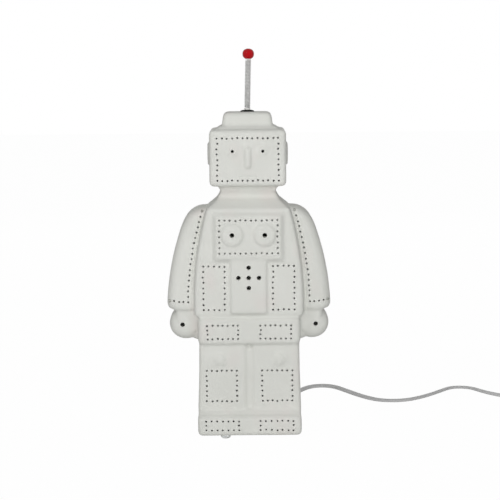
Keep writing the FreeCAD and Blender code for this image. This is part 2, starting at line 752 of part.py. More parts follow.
def sleeve_pinholes():
    """The row down the front of a sleeve and round its cuff."""
    drills = []
    arc = Part.Arc(
        V(SLEEVE_ROW_TOP[0], 0, SLEEVE_ROW_TOP[1]),
        V(SLEEVE_ROW_MID[0], 0, SLEEVE_ROW_MID[1]),
        V(SLEEVE_ROW_BOTTOM[0], 0, SLEEVE_ROW_BOTTOM[1]),
    ).toShape()
    for point in arc.discretize(SLEEVE_ROW_COUNT):
        start = V(point.x, SLEEVE_FRONT - SHELL_WALL, point.z)
        drills.append(Part.makeCylinder(PINHOLE_RADIUS, SLEEVE_DRILL_LENGTH, start, V(0, 1, 0)))
    centre = V(SLEEVE_CUFF[0] - SLEEVE_EDGE_RADIUS, SLEEVE_FRONT + SLEEVE_EDGE_RADIUS, SLEEVE_ROW_BOTTOM[1])
    reach = CUFF_ROW_END_X - SLEEVE_ROW_BOTTOM[0]
    for index in range(1, CUFF_ROW_COUNT + 1):
        share = index / CUFF_ROW_COUNT
        x = SLEEVE_ROW_BOTTOM[0] + reach * share
        if x <= centre.x:
            start = V(x, SLEEVE_FRONT - SHELL_WALL, centre.z)
            inward = V(0, 1, 0)
        else:
            angle = math.asin(min((x - centre.x) / SLEEVE_EDGE_RADIUS, math.sin(math.radians(CUFF_ROW_TURN))))
            outward = V(math.sin(angle), -math.cos(angle), 0)
            start = centre + outward * (SLEEVE_EDGE_RADIUS + SHELL_WALL)
            inward = outward * -1
        drills.append(Part.makeCylinder(PINHOLE_RADIUS, SLEEVE_DRILL_LENGTH, start, inward))
    return drills


def feature_holes():
    """The larger round holes on the front."""
    drills = []
    for side in (-1, 1):
        drills.append(cylinder_y(side * DIAL_X, DIAL_Z, DRILL_START, DRILL_END, DIAL_HOLE_RADIUS))
        drills.append(cylinder_y(side * EYE_X, EYE_Z, DRILL_START, DRILL_END, EYE_HOLE_RADIUS))
        drills.append(cylinder_y(side * HAND_HOLE_X, HAND_HOLE_Z, DRILL_START, 0, HAND_HOLE_RADIUS))
        drills.append(cylinder_y(side * CROSS_STEP, CROSS_Z, DRILL_START, DRILL_END, CROSS_HOLE_RADIUS))
        drills.append(cylinder_y(0, CROSS_Z + side * CROSS_STEP, DRILL_START, DRILL_END, CROSS_HOLE_RADIUS))
    drills.append(cylinder_y(0, CROSS_Z, DRILL_START, DRILL_END, CROSS_HOLE_RADIUS))
    return drills


def mouth_line():
    """Shallow impressed mouth line."""
    middle_y = HEAD_FRONT - MOUTH_LINE_RADIUS + MOUTH_DEPTH
    start = V(-MOUTH_HALF_WIDTH, middle_y, MOUTH_Z)
    return Part.makeCylinder(MOUTH_LINE_RADIUS, 2 * MOUTH_HALF_WIDTH, start, V(1, 0, 0))


shell = shell_outside().cut(shell_inside())
sleeve_drills = sleeve_pinholes()
drills = front_pinholes() + sleeve_drills + [mirror_x(drill) for drill in sleeve_drills]
drills += feature_holes()
drills.append(mouth_line())
drills.append(Part.makeCylinder(GROMMET_BARREL_RADIUS, 4 * SHELL_WALL, V(0, 0, HAT_TOP - 2 * SHELL_WALL)))
drills.append(cylinder_y(0, CORD_EXIT_Z, SHOE_BACK - 3 * SHELL_WALL, SHOE_BACK + SHELL_WALL, GLAND_RADIUS))
drills.append(Part.makeCylinder(PLATE_RADIUS + PLATE_SIDE_GAP, PLATE_RECESS, V(0, 0, SHELL_BOTTOM)))
shell = shell.cut(drills)
print("shell solids", len(shell.Solids), "volume", round(shell.Volume), "valid", shell.isValid())
save("porcelain_shell", shell.Solids[0])

# Feet

pads = [Part.makeCylinder(PAD_RADIUS, PAD_HEIGHT, V(x, y, 0)) for x, y in PAD_PLACES]
save("foot_pads", Part.makeCompound(pads))

# Base plate and its clips

PLATE_TOP = SHELL_BOTTOM + PLATE_RECESS
plate = Part.makeCylinder(PLATE_RADIUS, PLATE_THICKNESS, V(0, 0, PLATE_TOP - PLATE_THICKNESS))
plate = plate.cut(Part.makeCylinder(NIPPLE_RADIUS + FIT_GAP, SHELL_BOTTOM + PLATE_RECESS, V(0, 0, 0)))
save("base_plate", plate)


def spring_clip():
    """Bent leaf that stands on the plate and grips the wall of the opening."""
    outside = OPENING_RADIUS - SEAT_GAP
    leaf_x = math.sqrt(outside * outside - CLIP_WIDTH * CLIP_WIDTH / 4)
    foot_start = V(leaf_x - CLIP_FOOT, -CLIP_WIDTH / 2, PLATE_TOP)
    foot = Part.makeBox(CLIP_FOOT, CLIP_WIDTH, CLIP_THICKNESS, foot_start)
    leaf_start = V(leaf_x - CLIP_THICKNESS, -CLIP_WIDTH / 2, PLATE_TOP)
    leaf = Part.makeBox(CLIP_THICKNESS, CLIP_WIDTH, CLIP_HEIGHT, leaf_start)
    return fuse([foot, leaf])


clip = spring_clip()
save("plate_clips", Part.makeCompound([clip, mirror_x(clip)]))

# Nipple, nuts and lampholder, from the plate up

HOLDER_Z = PLATE_TOP + NUT_HEIGHT
HOLDER_BASE_TOP = HOLDER_Z + HOLDER_BASE_HEIGHT
CORE_TOP = HOLDER_BASE_TOP + CORE_FLANGE_HEIGHT + CORE_BOSS_HEIGHT
SCREW_SHELL_TOP = CORE_TOP + SCREW_SHELL_HEIGHT
NIPPLE_Z = PLATE_TOP - PLATE_THICKNESS - NUT_HEIGHT

nipple_length = HOLDER_Z + NIPPLE_INTO_HOLDER - NIPPLE_Z
save("holder_nipple", tube(NIPPLE_RADIUS, NIPPLE_BORE_RADIUS, nipple_length, NIPPLE_Z))
save("nipple_lower_nut", hexagon(NUT_ACROSS_FLATS, NUT_HEIGHT, NIPPLE_Z, NIPPLE_RADIUS + FIT_GAP))
save("nipple_upper_nut", hexagon(NUT_ACROSS_FLATS, NUT_HEIGHT, PLATE_TOP, NIPPLE_RADIUS + FIT_GAP))


def holder_base():
    """Cup that screws on the nipple, with the cable entry in its back."""
    cup = Part.makeCylinder(HOLDER_RADIUS, HOLDER_BASE_HEIGHT, V(0, 0, HOLDER_Z))
    floor = V(0, 0, HOLDER_Z + HOLDER_FLOOR)
    hollow = Part.makeCylinder(HOLDER_RADIUS - HOLDER_WALL, HOLDER_BASE_HEIGHT, floor)
    bore = Part.makeCylinder(NIPPLE_RADIUS + FIT_GAP, HOLDER_BASE_HEIGHT, V(0, 0, HOLDER_Z))
    entry = cylinder_y(0, HOLDER_Z + HOLDER_ENTRY_HEIGHT, 0, HOLDER_RADIUS + HOLDER_WALL, HOLDER_ENTRY_RADIUS)
    return cup.cut([hollow, bore, entry])


def holder_core():
    """Insulating core that is clamped between the cup and the sleeve."""
    flange = Part.makeCylinder(HOLDER_RADIUS, CORE_FLANGE_HEIGHT, V(0, 0, HOLDER_BASE_TOP))
    boss = Part.makeCylinder(CORE_BOSS_RADIUS, CORE_TOP - HOLDER_BASE_TOP, V(0, 0, HOLDER_BASE_TOP))
    return fuse([flange, boss])


def holder_sleeve():
    """Outer sleeve with a lip round the bulb's neck."""
    low = HOLDER_BASE_TOP + CORE_FLANGE_HEIGHT
    high = SCREW_SHELL_TOP + HOLDER_SLEEVE_ABOVE_SHELL
    wall = tube(HOLDER_RADIUS, HOLDER_RADIUS - HOLDER_WALL, high - low, low)
    lip = tube(HOLDER_RADIUS, HOLDER_LIP_RADIUS, HOLDER_LIP_HEIGHT, high - HOLDER_LIP_HEIGHT)
    return fuse([wall, lip])


def centre_contact():
    """Sprung contact tongue, drawn as a stepped button."""
    leaf = Part.makeCylinder(CONTACT_RADIUS, CONTACT_THICKNESS, V(0, 0, CORE_TOP))
    button = Part.makeCylinder(CONTACT_RADIUS / 2, CONTACT_RISE, V(0, 0, CORE_TOP + CONTACT_THICKNESS))
    return fuse([leaf, button])


save("holder_base", holder_base())
save("holder_core", holder_core())
save("holder_sleeve", holder_sleeve())
screw_shell_outer = SCREW_SHELL_RADIUS + SCREW_SHELL_WALL
save("holder_screw_shell", tube(screw_shell_outer, SCREW_SHELL_RADIUS, SCREW_SHELL_HEIGHT, CORE_TOP))
save("holder_centre_contact", centre_contact())
terminal_z = HOLDER_BASE_TOP - TERMINAL_HEIGHT
terminal_places = [V(side * TERMINAL_X, 0, terminal_z) for side in (-1, 1)]
terminals = [Part.makeCylinder(TERMINAL_RADIUS, TERMINAL_HEIGHT, place) for place in terminal_places]
save("holder_terminal_screws", Part.makeCompound(terminals))

# Bulb

BULB_CONTACT_Z = CORE_TOP + CONTACT_THICKNESS + CONTACT_RISE + FIT_GAP
CAP_INSULATOR_Z = BULB_CONTACT_Z + BULB_CONTACT_HEIGHT
CAP_Z = CAP_INSULATOR_Z + CAP_INSULATOR_HEIGHT
CAP_TOP = CAP_Z + CAP_HEIGHT
BULB_TOP = CAP_TOP + BULB_LENGTH_ABOVE_CAP


def glass_profile(inset):
    """Half section of the bulb's glass, one inset further in, closed along the axis."""
    ball_z = BULB_TOP - BULB_RADIUS
    radius = BULB_RADIUS - inset
    neck = BULB_NECK_RADIUS - inset
    bottom = CAP_TOP - BULB_NECK_IN_CAP + inset

    def on_ball(degrees):
        angle = math.radians(degrees)
        return radius * math.cos(angle), ball_z + radius * math.sin(angle)

    pole = TURN / 4
    steps = [
        (neck, bottom),
        (neck, CAP_TOP + inset),
        on_ball(-BULB_SHOULDER),
        (on_ball(0), on_ball(2 * pole / 3)),
        (on_ball(5 * pole / 6), (0, ball_z + radius)),
        (0, bottom),
    ]
    return outline_face((0, bottom), steps, 0)


def revolve_z(face):
    """Full turn about the Z axis."""
    return face.revolve(V(0, 0, 0), V(0, 0, 1), TURN)


save("bulb_contact", Part.makeCylinder(BULB_CONTACT_RADIUS, BULB_CONTACT_HEIGHT, V(0, 0, BULB_CONTACT_Z)))
save("bulb_cap_insulator", Part.makeCylinder(CAP_RADIUS, CAP_INSULATOR_HEIGHT, V(0, 0, CAP_INSULATOR_Z)))
save("bulb_cap", tube(CAP_RADIUS, CAP_RADIUS - CAP_WALL, CAP_HEIGHT, CAP_Z))
save("bulb_glass", revolve_z(glass_profile(0)).cut(revolve_z(glass_profile(BULB_GLASS_WALL))))
stem_z = CAP_TOP - BULB_NECK_IN_CAP + BULB_GLASS_WALL
stem_top = CAP_TOP + STEM_TOP_ABOVE_CAP
save("bulb_stem", Part.makeCylinder(STEM_RADIUS, stem_top - stem_z, V(0, 0, stem_z)))


def filament():
    """Filament on two support wires."""
    supports = []
    for side in (-1, 1):
        foot = V(side * FILAMENT_HALF_SPAN / 2, 0, stem_top)
        head = V(side * FILAMENT_HALF_SPAN, 0, stem_top + FILAMENT_RISE)
        way = head - foot
        supports.append(Part.makeCylinder(FILAMENT_WIRE_RADIUS, way.Length, foot, way))
    start = V(-FILAMENT_HALF_SPAN - FILAMENT_WIRE_RADIUS, 0, stem_top + FILAMENT_RISE)
    length = 2 * (FILAMENT_HALF_SPAN + FILAMENT_WIRE_RADIUS)
    return fuse([Part.makeCylinder(2 * FILAMENT_WIRE_RADIUS, length, start, V(1, 0, 0))] + supports)


wires = filament()
wires = wires.cut(Part.makeCylinder(STEM_RADIUS, stem_top - stem_z, V(0, 0, stem_z)))
save("bulb_filament", wires)

# Tubes along a route and wound tubes


def bend(before, corner, after, radius):
    """Tangent arc at a corner: its two ends and its middle."""
    way_in = (corner - before).normalize()
    way_out = (after - corner).normalize()
    half = way_in.getAngle(way_out) / 2
    cut_back = radius * math.tan(half)
    start = corner - way_in * cut_back
    end = corner + way_out * cut_back
    chord = (start + end) * 0.5
    middle = chord + (corner - chord) * (math.tan(half / 2) / math.tan(half))
    return start, middle, end


def route_wire(points):
    """Straight runs joined by tangent arcs, each as large as its two runs allow; also its radii."""
    corners = [V(*point) for point in points]
    edges = []
    radii = []
    here = corners[0]
    for index in range(1, len(corners) - 1):
        before, corner, after = corners[index - 1:index + 2]
        shorter = min((corner - before).Length, (after - corner).Length)
        half = (corner - before).getAngle(after - corner) / 2
        radius = BEND_SHARE * shorter / math.tan(half)
        start, middle, end = bend(before, corner, after, radius)
        edges.append(Part.LineSegment(here, start).toShape())
        edges.append(Part.Arc(start, middle, end).toShape())
        radii.append(radius)
        here = end
    edges.append(Part.LineSegment(here, corners[-1]).toShape())
    return Part.Wire(edges), radii


def sweep(path, radius):
    """Round tube along a wire."""
    first = path.OrderedEdges[0]
    start = first.valueAt(first.FirstParameter)
    way = first.tangentAt(first.FirstParameter)
    ring = Part.Wire(Part.makeCircle(radius, start, way))
    return path.makePipeShell([ring], True, False)


def route_tube(name, points, radius):
    """Tube along a route, with its radii and its volume against section times length."""
    path, radii = route_wire(points)
    solid = sweep(path, radius)
    plain = math.pi * radius * radius * path.Length
    print(name, "length", round(path.Length, 1), "least radius", round(min(radii), 1),
          "radii", [round(value) for value in radii], "volume ratio", round(solid.Volume / plain, 4))
    return solid


def biarc(start, way_in, end, way_out):
    """Two arcs that join a start and an end with these directions."""
    chord = end - start
    total = way_in + way_out
    blend = 2 * (1 - way_in.dot(way_out))
    reach = (-chord.dot(total) + math.sqrt(chord.dot(total) ** 2 + blend * chord.dot(chord))) / blend
    first_corner = start + way_in * reach
    second_corner = end - way_out * reach
    joint = (first_corner + second_corner) * 0.5
    arcs = []
    for before, corner, after in ((start, first_corner, joint), (joint, second_corner, end)):
        half = (corner - before).getAngle(after - corner) / 2
        middle_chord = (before + after) * 0.5
        middle = middle_chord + (corner - middle_chord) * (math.tan(half / 2) / math.tan(half))
        arcs.append(Part.Arc(before, middle, after).toShape())
    return arcs


def wound_wire(stations, lead_in, lead_out):
    """Biarcs through stations of (point, direction), with straight ends."""
    edges = []
    if lead_in > 0:
        point, way = stations[0]
        edges.append(Part.LineSegment(point - way * lead_in, point).toShape())
    for (start, way_in), (end, way_out) in zip(stations, stations[1:]):
        edges += biarc(start, way_in, end, way_out)
    if lead_out > 0:
        point, way = stations[-1]
        edges.append(Part.LineSegment(point, point + way * lead_out).toShape())
    return Part.Wire(edges)


def least_gap(path, diameter, step, skip):
    """Least distance between the skins of turns, measured on points along the path."""
    points = path.discretize(Distance=step)
    apart = int(skip / step)
    least = None
    for index, point in enumerate(points):
        for other in points[index + apart:]:
            gap = (point - other).Length - diameter
            if least is None or gap < least:
                least = gap
    return least


# Antenna, built upright on the hat's axis, then leaned

GROMMET_TOP = HAT_TOP + GROMMET_DOME_HEIGHT
COLLAR_Z = GROMMET_TOP + COLLAR_GAP
COLLAR_TOP = COLLAR_Z + COLLAR_HEIGHT
HAT_CEILING = HAT_TOP - SHELL_WALL


def antenna_grommet():
    """Rubber grommet in the hat's hole: domed flange, barrel and lower flange."""
    dome_top = COLLAR_RADIUS + FIT_GAP
    dome = Part.makeCone(GROMMET_FLANGE_RADIUS, dome_top, GROMMET_DOME_HEIGHT, V(0, 0, HAT_TOP))
    barrel_radius = GROMMET_BARREL_RADIUS - FIT_GAP
    barrel = Part.makeCylinder(barrel_radius, SHELL_WALL + GROMMET_DOME_HEIGHT / 2, V(0, 0, HAT_CEILING))
    lower = Part.makeCylinder(
        GROMMET_LOWER_RADIUS,
        GROMMET_LOWER_HEIGHT,
        V(0, 0, HAT_CEILING - GROMMET_LOWER_HEIGHT),
    )
    body = fuse([dome, barrel, lower])
    low = HAT_CEILING - GROMMET_LOWER_HEIGHT
    return body.cut(Part.makeCylinder(GROMMET_BORE_RADIUS, GROMMET_TOP - low, V(0, 0, low)))


def lean(shape):
    """Lean of the whole antenna about the foot of its collar."""
    leaned = shape.copy()
    leaned.rotate(V(0, 0, COLLAR_Z), V(0, 1, 0), ANTENNA_LEAN)
    return leaned


WASHER_Z = HAT_CEILING - GROMMET_LOWER_HEIGHT - SEAT_GAP - WASHER_THICKNESS
STUD_NUT_Z = WASHER_Z - STUD_NUT_HEIGHT
SPRING_TOP = COLLAR_TOP + SPRING_LENGTH
save("antenna_grommet", antenna_grommet())
save("antenna_collar", lean(Part.makeCylinder(COLLAR_RADIUS, COLLAR_HEIGHT, V(0, 0, COLLAR_Z))))
stud_z = STUD_NUT_Z - STUD_BELOW_GROMMET / 2
save("antenna_stud", lean(Part.makeCylinder(STUD_RADIUS, COLLAR_Z - stud_z, V(0, 0, stud_z))))
save("antenna_washer", lean(tube(WASHER_RADIUS, STUD_RADIUS + FIT_GAP, WASHER_THICKNESS, WASHER_Z)))
save("antenna_nut", lean(hexagon(STUD_NUT_FLATS, STUD_NUT_HEIGHT, STUD_NUT_Z, STUD_RADIUS + FIT_GAP)))


def spring_path():
    """Helix of half-turn biarcs whose ends turn square into the collar and the tip plug."""
    radius = SPRING_OUTER_RADIUS - SPRING_WIRE / 2
    lead = SPRING_WIRE
    entry = 2 * SPRING_WIRE
    low = COLLAR_TOP + lead + entry
    high = SPRING_TOP - lead - entry
    halves = 2 * SPRING_TURNS
    pitch_angle = math.atan2((high - low) / SPRING_TURNS, 2 * math.pi * radius)
    stations = [(V(radius, 0, COLLAR_TOP + lead), V(0, 0, 1))]
    quarter = math.pi / 2
    for index in range(halves + 1):
        angle = quarter + math.pi * index
        z = low + (high - low) * index / halves
        way = V(-math.sin(angle), math.cos(angle), math.tan(pitch_angle)).normalize()
        stations.append((V(radius * math.cos(angle), radius * math.sin(angle), z), way))
    last_angle = quarter + math.pi * halves + quarter
    last = V(radius * math.cos(last_angle), radius * math.sin(last_angle), SPRING_TOP - lead)
    stations.append((last, V(0, 0, 1)))
    return wound_wire(stations, lead, lead)


spring_wire = spring_path()
spring = sweep(spring_wire, SPRING_WIRE / 2)
spring_plain = math.pi * SPRING_WIRE ** 2 / 4 * spring_wire.Length
spring_gap = least_gap(spring_wire, SPRING_WIRE, SPRING_CHECK_STEP, 3 * SPRING_OUTER_RADIUS)
print("spring gap", round(spring_gap, 2), "valid", spring.isValid(),
      "volume ratio", round(spring.Volume / spring_plain, 4))


def tip_plug():
    """Turned plug that joins the spring and the bead."""
    flange = Part.makeCylinder(TIP_FLANGE_RADIUS, TIP_FLANGE_HEIGHT, V(0, 0, SPRING_TOP))
    length = TIP_PLUG_INTO_SPRING + TIP_FLANGE_HEIGHT + TIP_PLUG_INTO_BEAD
    pin = Part.makeCylinder(TIP_PLUG_RADIUS, length, V(0, 0, SPRING_TOP - TIP_PLUG_INTO_SPRING))
    return fuse([flange, pin])


def bead():
    """Slightly flattened round bead, bored for its plug and faced where it sits on the flange."""
    seat = SPRING_TOP + TIP_FLANGE_HEIGHT
    ball = Part.makeSphere(BEAD_RADIUS)
    squash = FreeCAD.Matrix()
    squash.scale(1.0, 1.0, BEAD_HALF_HEIGHT / BEAD_RADIUS)
    ball = ball.transformGeometry(squash)
    ball.translate(V(0, 0, seat + BEAD_HALF_HEIGHT - BEAD_SUNK))
    bore = Part.makeCylinder(TIP_PLUG_RADIUS + FIT_GAP, TIP_PLUG_INTO_BEAD + FIT_GAP, V(0, 0, seat))
    facing = Part.makeCylinder(BEAD_RADIUS, BEAD_SUNK + FIT_GAP, V(0, 0, seat - BEAD_SUNK - FIT_GAP))
    return ball.cut([bore, facing])


save("antenna_spring", lean(spring))
save("antenna_tip_plug", lean(tip_plug()))
save("antenna_bead", lean(bead()))

# Gland and the inner conductors

gland = fuse([
    cylinder_y(0, CORD_EXIT_Z, SHOE_BACK - SHELL_WALL - GLAND_THREAD_INSIDE, SHOE_BACK, GLAND_RADIUS),
    cylinder_y(0, CORD_EXIT_Z, SHOE_BACK, SHOE_BACK + GLAND_FLANGE, GLAND_FLANGE_RADIUS),
    Part.makeCone(
        GLAND_RADIUS,
        GLAND_TIP_RADIUS,
        GLAND_LENGTH,
        V(0, SHOE_BACK + GLAND_FLANGE, CORD_EXIT_Z),
        V(0, 1, 0),
    ),
])
save("cord_gland", gland)
nut_y = SHOE_BACK - SHELL_WALL - GLAND_NUT_HEIGHT
gland_nut = cylinder_y(0, CORD_EXIT_Z, nut_y, SHOE_BACK - SHELL_WALL, GLAND_NUT_RADIUS)
save("gland_nut", gland_nut.cut(cylinder_y(0, CORD_EXIT_Z, nut_y, SHOE_BACK, GLAND_RADIUS + FIT_GAP)))

inner_start = SHOE_BACK - SHELL_WALL - GLAND_THREAD_INSIDE
entry_z = HOLDER_Z + HOLDER_ENTRY_HEIGHT
inner_end = HOLDER_RADIUS / 2
for core_name, side in (("conductor_live", -1), ("conductor_neutral", 1)):
    x = side * INNER_FLEX_HALF_SPACING
    span = inner_start - HOLDER_RADIUS
    rise_y, peak_y, level_y = [inner_start - span * share for share in INNER_FLEX_SHARES]
    inner_route = [
        (x, inner_start, CORD_EXIT_Z),
        (x, rise_y, CORD_EXIT_Z),
        (x, peak_y, CORD_EXIT_Z + INNER_FLEX_SLACK),
        (x, level_y, entry_z),
        (x, inner_end, entry_z),
    ]
    save(core_name, route_tube(core_name, inner_route, INNER_FLEX_RADIUS))

# Switch, in its own frame and then laid on the floor


def lay(shape, place, angle):
    """Turn a piece about Z and move it to its place on the floor."""
    laid = shape.copy()
    laid.rotate(V(0, 0, 0), V(0, 0, 1), angle)
    laid.translate(V(place[0], place[1], 0))
    return laid


def rounded_bar(length, width, z_low, z_high, corner):
    """Bar with rounded upright corners, centred on x and y."""
    box = Part.makeBox(length, width, z_high - z_low, V(-length / 2, -width / 2, z_low))
    upright = [edge for edge in box.Edges if edge.BoundBox.ZLength > (z_high - z_low) / 2]
    return box.makeFillet(corner, upright)


def rim(solid, z):
    """Edges of a solid at one height."""
    level = [edge for edge in solid.Edges if edge.BoundBox.ZLength < SAME_PLACE]
    return [edge for edge in level if abs(edge.BoundBox.ZMin - z) < SAME_PLACE]


ROCKER_PIVOT_Z = SWITCH_HEIGHT - ROCKER_DEPTH / 2
SWITCH_INNER_CORNER = SWITCH_CORNER_RADIUS - SWITCH_WALL


def switch_base():
    """Lower half of the switch, with cord openings and screw posts."""
    body = rounded_bar(SWITCH_LENGTH, SWITCH_WIDTH, 0, SWITCH_SPLIT_Z, SWITCH_CORNER_RADIUS)
    body = body.makeFillet(SWITCH_EDGE_RADIUS, rim(body, 0))
    hollow = rounded_bar(
        SWITCH_LENGTH - 2 * SWITCH_WALL,
        SWITCH_WIDTH - 2 * SWITCH_WALL,
        SWITCH_WALL,
        SWITCH_SPLIT_Z,
        SWITCH_INNER_CORNER,
    )
    body = body.cut(hollow)
    posts = []
    bores = []
    for side in (-1, 1):
        place = V(side * SWITCH_SCREW_X, SWITCH_WIDTH / 4, 0)
        foot = place + V(0, 0, SWITCH_WALL)
        posts.append(Part.makeCylinder(SWITCH_POST_RADIUS, SWITCH_SPLIT_Z - SWITCH_WALL, foot))
        bores.append(Part.makeCylinder(SWITCH_SCREW_RADIUS + FIT_GAP, SWITCH_SPLIT_Z, place))
        bores.append(Part.makeCylinder(SWITCH_SCREW_HEAD_RADIUS + FIT_GAP, SWITCH_SCREW_HEAD, place))
    return fuse([body] + posts).cut(bores)


def switch_cover():
    """Upper half of the switch with the rocker's window and pin seats."""
    body = rounded_bar(SWITCH_LENGTH, SWITCH_WIDTH, SWITCH_SPLIT_Z, SWITCH_HEIGHT, SWITCH_CORNER_RADIUS)
    body = body.makeFillet(SWITCH_EDGE_RADIUS, rim(body, SWITCH_HEIGHT))
    hollow = rounded_bar(
        SWITCH_LENGTH - 2 * SWITCH_WALL,
        SWITCH_WIDTH - 2 * SWITCH_WALL,
        SWITCH_SPLIT_Z,
        SWITCH_HEIGHT - SWITCH_WALL,
        SWITCH_INNER_CORNER,
    )
    body = body.cut(hollow)
    window_length = ROCKER_LENGTH + 2 * ROCKER_GAP
    window_width = ROCKER_WIDTH + 2 * ROCKER_GAP
    frame_low = ROCKER_PIVOT_Z - ROCKER_PIN_RADIUS - ROCKER_PIN_SEAT
    frame = Part.makeBox(
        window_length + 2 * SWITCH_WALL,
        window_width + 2 * SWITCH_WALL,
        SWITCH_HEIGHT - SWITCH_WALL / 2 - frame_low,
        V(-window_length / 2 - SWITCH_WALL, -window_width / 2 - SWITCH_WALL, frame_low),
    )
    window = Part.makeBox(
        window_length,
        window_width,
        SWITCH_HEIGHT,
        V(-window_length / 2, -window_width / 2, SWITCH_SPLIT_Z),
    )
    pin_length = window_width + 2 * SWITCH_WALL
    pin_bore = Part.makeCylinder(
        ROCKER_PIN_RADIUS + FIT_GAP,
        pin_length,
        V(0, -pin_length / 2, ROCKER_PIVOT_Z),
        V(0, 1, 0),
    )
    posts = []
    bores = []
    for side in (-1, 1):
        place = V(side * SWITCH_SCREW_X, SWITCH_WIDTH / 4, SWITCH_SPLIT_Z)
        height = SWITCH_HEIGHT - SWITCH_WALL - SWITCH_SPLIT_Z
        posts.append(Part.makeCylinder(SWITCH_POST_RADIUS, height, place))
        bores.append(Part.makeCylinder(SWITCH_SCREW_RADIUS + FIT_GAP, height - SWITCH_WALL, place))
    return fuse([body, frame] + posts).cut([window, pin_bore] + bores)


def switch_rocker():
    """Rocker: a bar with a shallow V top, bored for its pin, at rest in its off position."""
    top = SWITCH_HEIGHT + ROCKER_RISE
    low = SWITCH_HEIGHT - ROCKER_DEPTH
    half = ROCKER_LENGTH / 2
    steps = [
        (half, low + ROCKER_RISE),
        (half, top),
        (0, SWITCH_HEIGHT + ROCKER_RISE / 3),
        (-half, top),
        (-half, low + ROCKER_RISE),
        (0, low),
    ]
    face = outline_face((0, low), steps, -ROCKER_WIDTH / 2)
    bar = slab(face, ROCKER_WIDTH)
    bar = bar.makeFillet(ROCKER_GAP, bar.Edges)
    bore = Part.makeCylinder(
        ROCKER_PIN_RADIUS + FIT_GAP,
        ROCKER_WIDTH,
        V(0, -ROCKER_WIDTH / 2, ROCKER_PIVOT_Z),
        V(0, 1, 0),
    )
    rocker = bar.cut(bore)
    rocker.rotate(V(0, 0, ROCKER_PIVOT_Z), V(0, 1, 0), ROCKER_TILT)
    return rocker


def switch_pieces():
    """All pieces of the switch in its own frame."""
    pin_length = ROCKER_WIDTH + 2 * (ROCKER_GAP + SWITCH_WALL)
    pin = Part.makeCylinder(ROCKER_PIN_RADIUS, pin_length, V(0, -pin_length / 2, ROCKER_PIVOT_Z), V(0, 1, 0))
    contacts = []
    screws = []
    for side in (-1, 1):
        start = V(side * CONTACT_BAR_X - CONTACT_BAR_LENGTH / 2, -CONTACT_BAR_WIDTH / 2, SWITCH_WALL)
        contacts.append(Part.makeBox(CONTACT_BAR_LENGTH, CONTACT_BAR_WIDTH, CONTACT_BAR_HEIGHT, start))
        place = V(side * SWITCH_SCREW_X, SWITCH_WIDTH / 4, 0)
        head = Part.makeCylinder(SWITCH_SCREW_HEAD_RADIUS, SWITCH_SCREW_HEAD, place)
        shank_length = SWITCH_HEIGHT - 3 * SWITCH_WALL
        screws.append(fuse([head, Part.makeCylinder(SWITCH_SCREW_RADIUS, shank_length, place)]))
    half = SWITCH_LENGTH / 2
    reliefs = {}
    for name, side in (("switch_relief_lamp_side", -1), ("switch_relief_plug_side", 1)):
        root = V(side * half, 0, SWITCH_AXIS_Z)
        reliefs[name] = Part.makeCone(
            SWITCH_RELIEF_ROOT,
            SWITCH_RELIEF_TIP,
            SWITCH_RELIEF_LENGTH,
            root,
            V(side, 0, 0),
        )
    pieces = {
        "switch_base": switch_base(),
        "switch_cover": switch_cover(),
        "switch_rocker": switch_rocker(),
        "switch_rocker_pin": pin,
        "switch_contacts": Part.makeCompound(contacts),
        "switch_screws": Part.makeCompound(screws),
    }
    pieces.update(reliefs)
    return pieces


switch_way = V(math.cos(math.radians(SWITCH_ANGLE)), math.sin(math.radians(SWITCH_ANGLE)), 0)
switch_reach = SWITCH_LENGTH / 2 + SWITCH_RELIEF_LENGTH
switch_tip = V(SWITCH_TIP[0], SWITCH_TIP[1], SWITCH_AXIS_Z)
switch_middle = switch_tip + switch_way * switch_reach
switch_far_tip = switch_middle + switch_way * switch_reach
for piece_name, piece in switch_pieces().items():
    save(piece_name, lay(piece, (switch_middle.x, switch_middle.y), SWITCH_ANGLE))
print("switch middle", switch_middle, "rocker axis", V(0, 0, 1).cross(switch_way), "far tip", switch_far_tip)

# Cord: stretch to the switch, stretch to the coil, coil, tail and plug

near_route = CORD_NEAR_ROUTE + [
    tuple(switch_tip - switch_way * CORD_RISE_RUN),
    tuple(switch_tip),
]
save("cord_lamp_side", route_tube("cord_lamp_side", near_route, CORD_DIAMETER / 2))


def coil_stations():
    """Quarter-turn stations of two spiral layers, climbing where the spiral reverses."""
    spread = COIL_STEP * COIL_TURNS_PER_LAYER
    outer = COIL_MID_RADIUS + spread / 2
    inner = COIL_MID_RADIUS - spread / 2
    quarters = int(COIL_TURNS_PER_LAYER * 4)
    shape = [(outer + (inner - outer) * index / quarters, CORD_Z) for index in range(quarters + 1)]
    shape.append((inner - COIL_STEP / 8, CORD_Z + COIL_LAYER_STEP / 2))
    top = CORD_Z + COIL_LAYER_STEP
    shape += [(inner + (outer - inner) * index / quarters, top) for index in range(quarters + 1)]
    points = []
    for index, (radius, z) in enumerate(shape):
        angle = math.pi / 2 * index
        x = COIL_CENTRE[0] + radius * math.cos(angle)
        y = COIL_CENTRE[1] + radius * math.sin(angle)
        points.append(V(x, y, z))
    stations = []
    for index, point in enumerate(points):
        angle = math.pi / 2 * index
        across = V(-math.sin(angle), math.cos(angle), 0)
        if 0 < index < len(points) - 1:
            climb = (points[index + 1] - points[index - 1]).normalize()
            outward = V(math.cos(angle), math.sin(angle), 0)
            radial = outward * climb.dot(outward)
            across = (across + radial + V(0, 0, climb.z)).normalize()
        stations.append((point, across))
    return stations


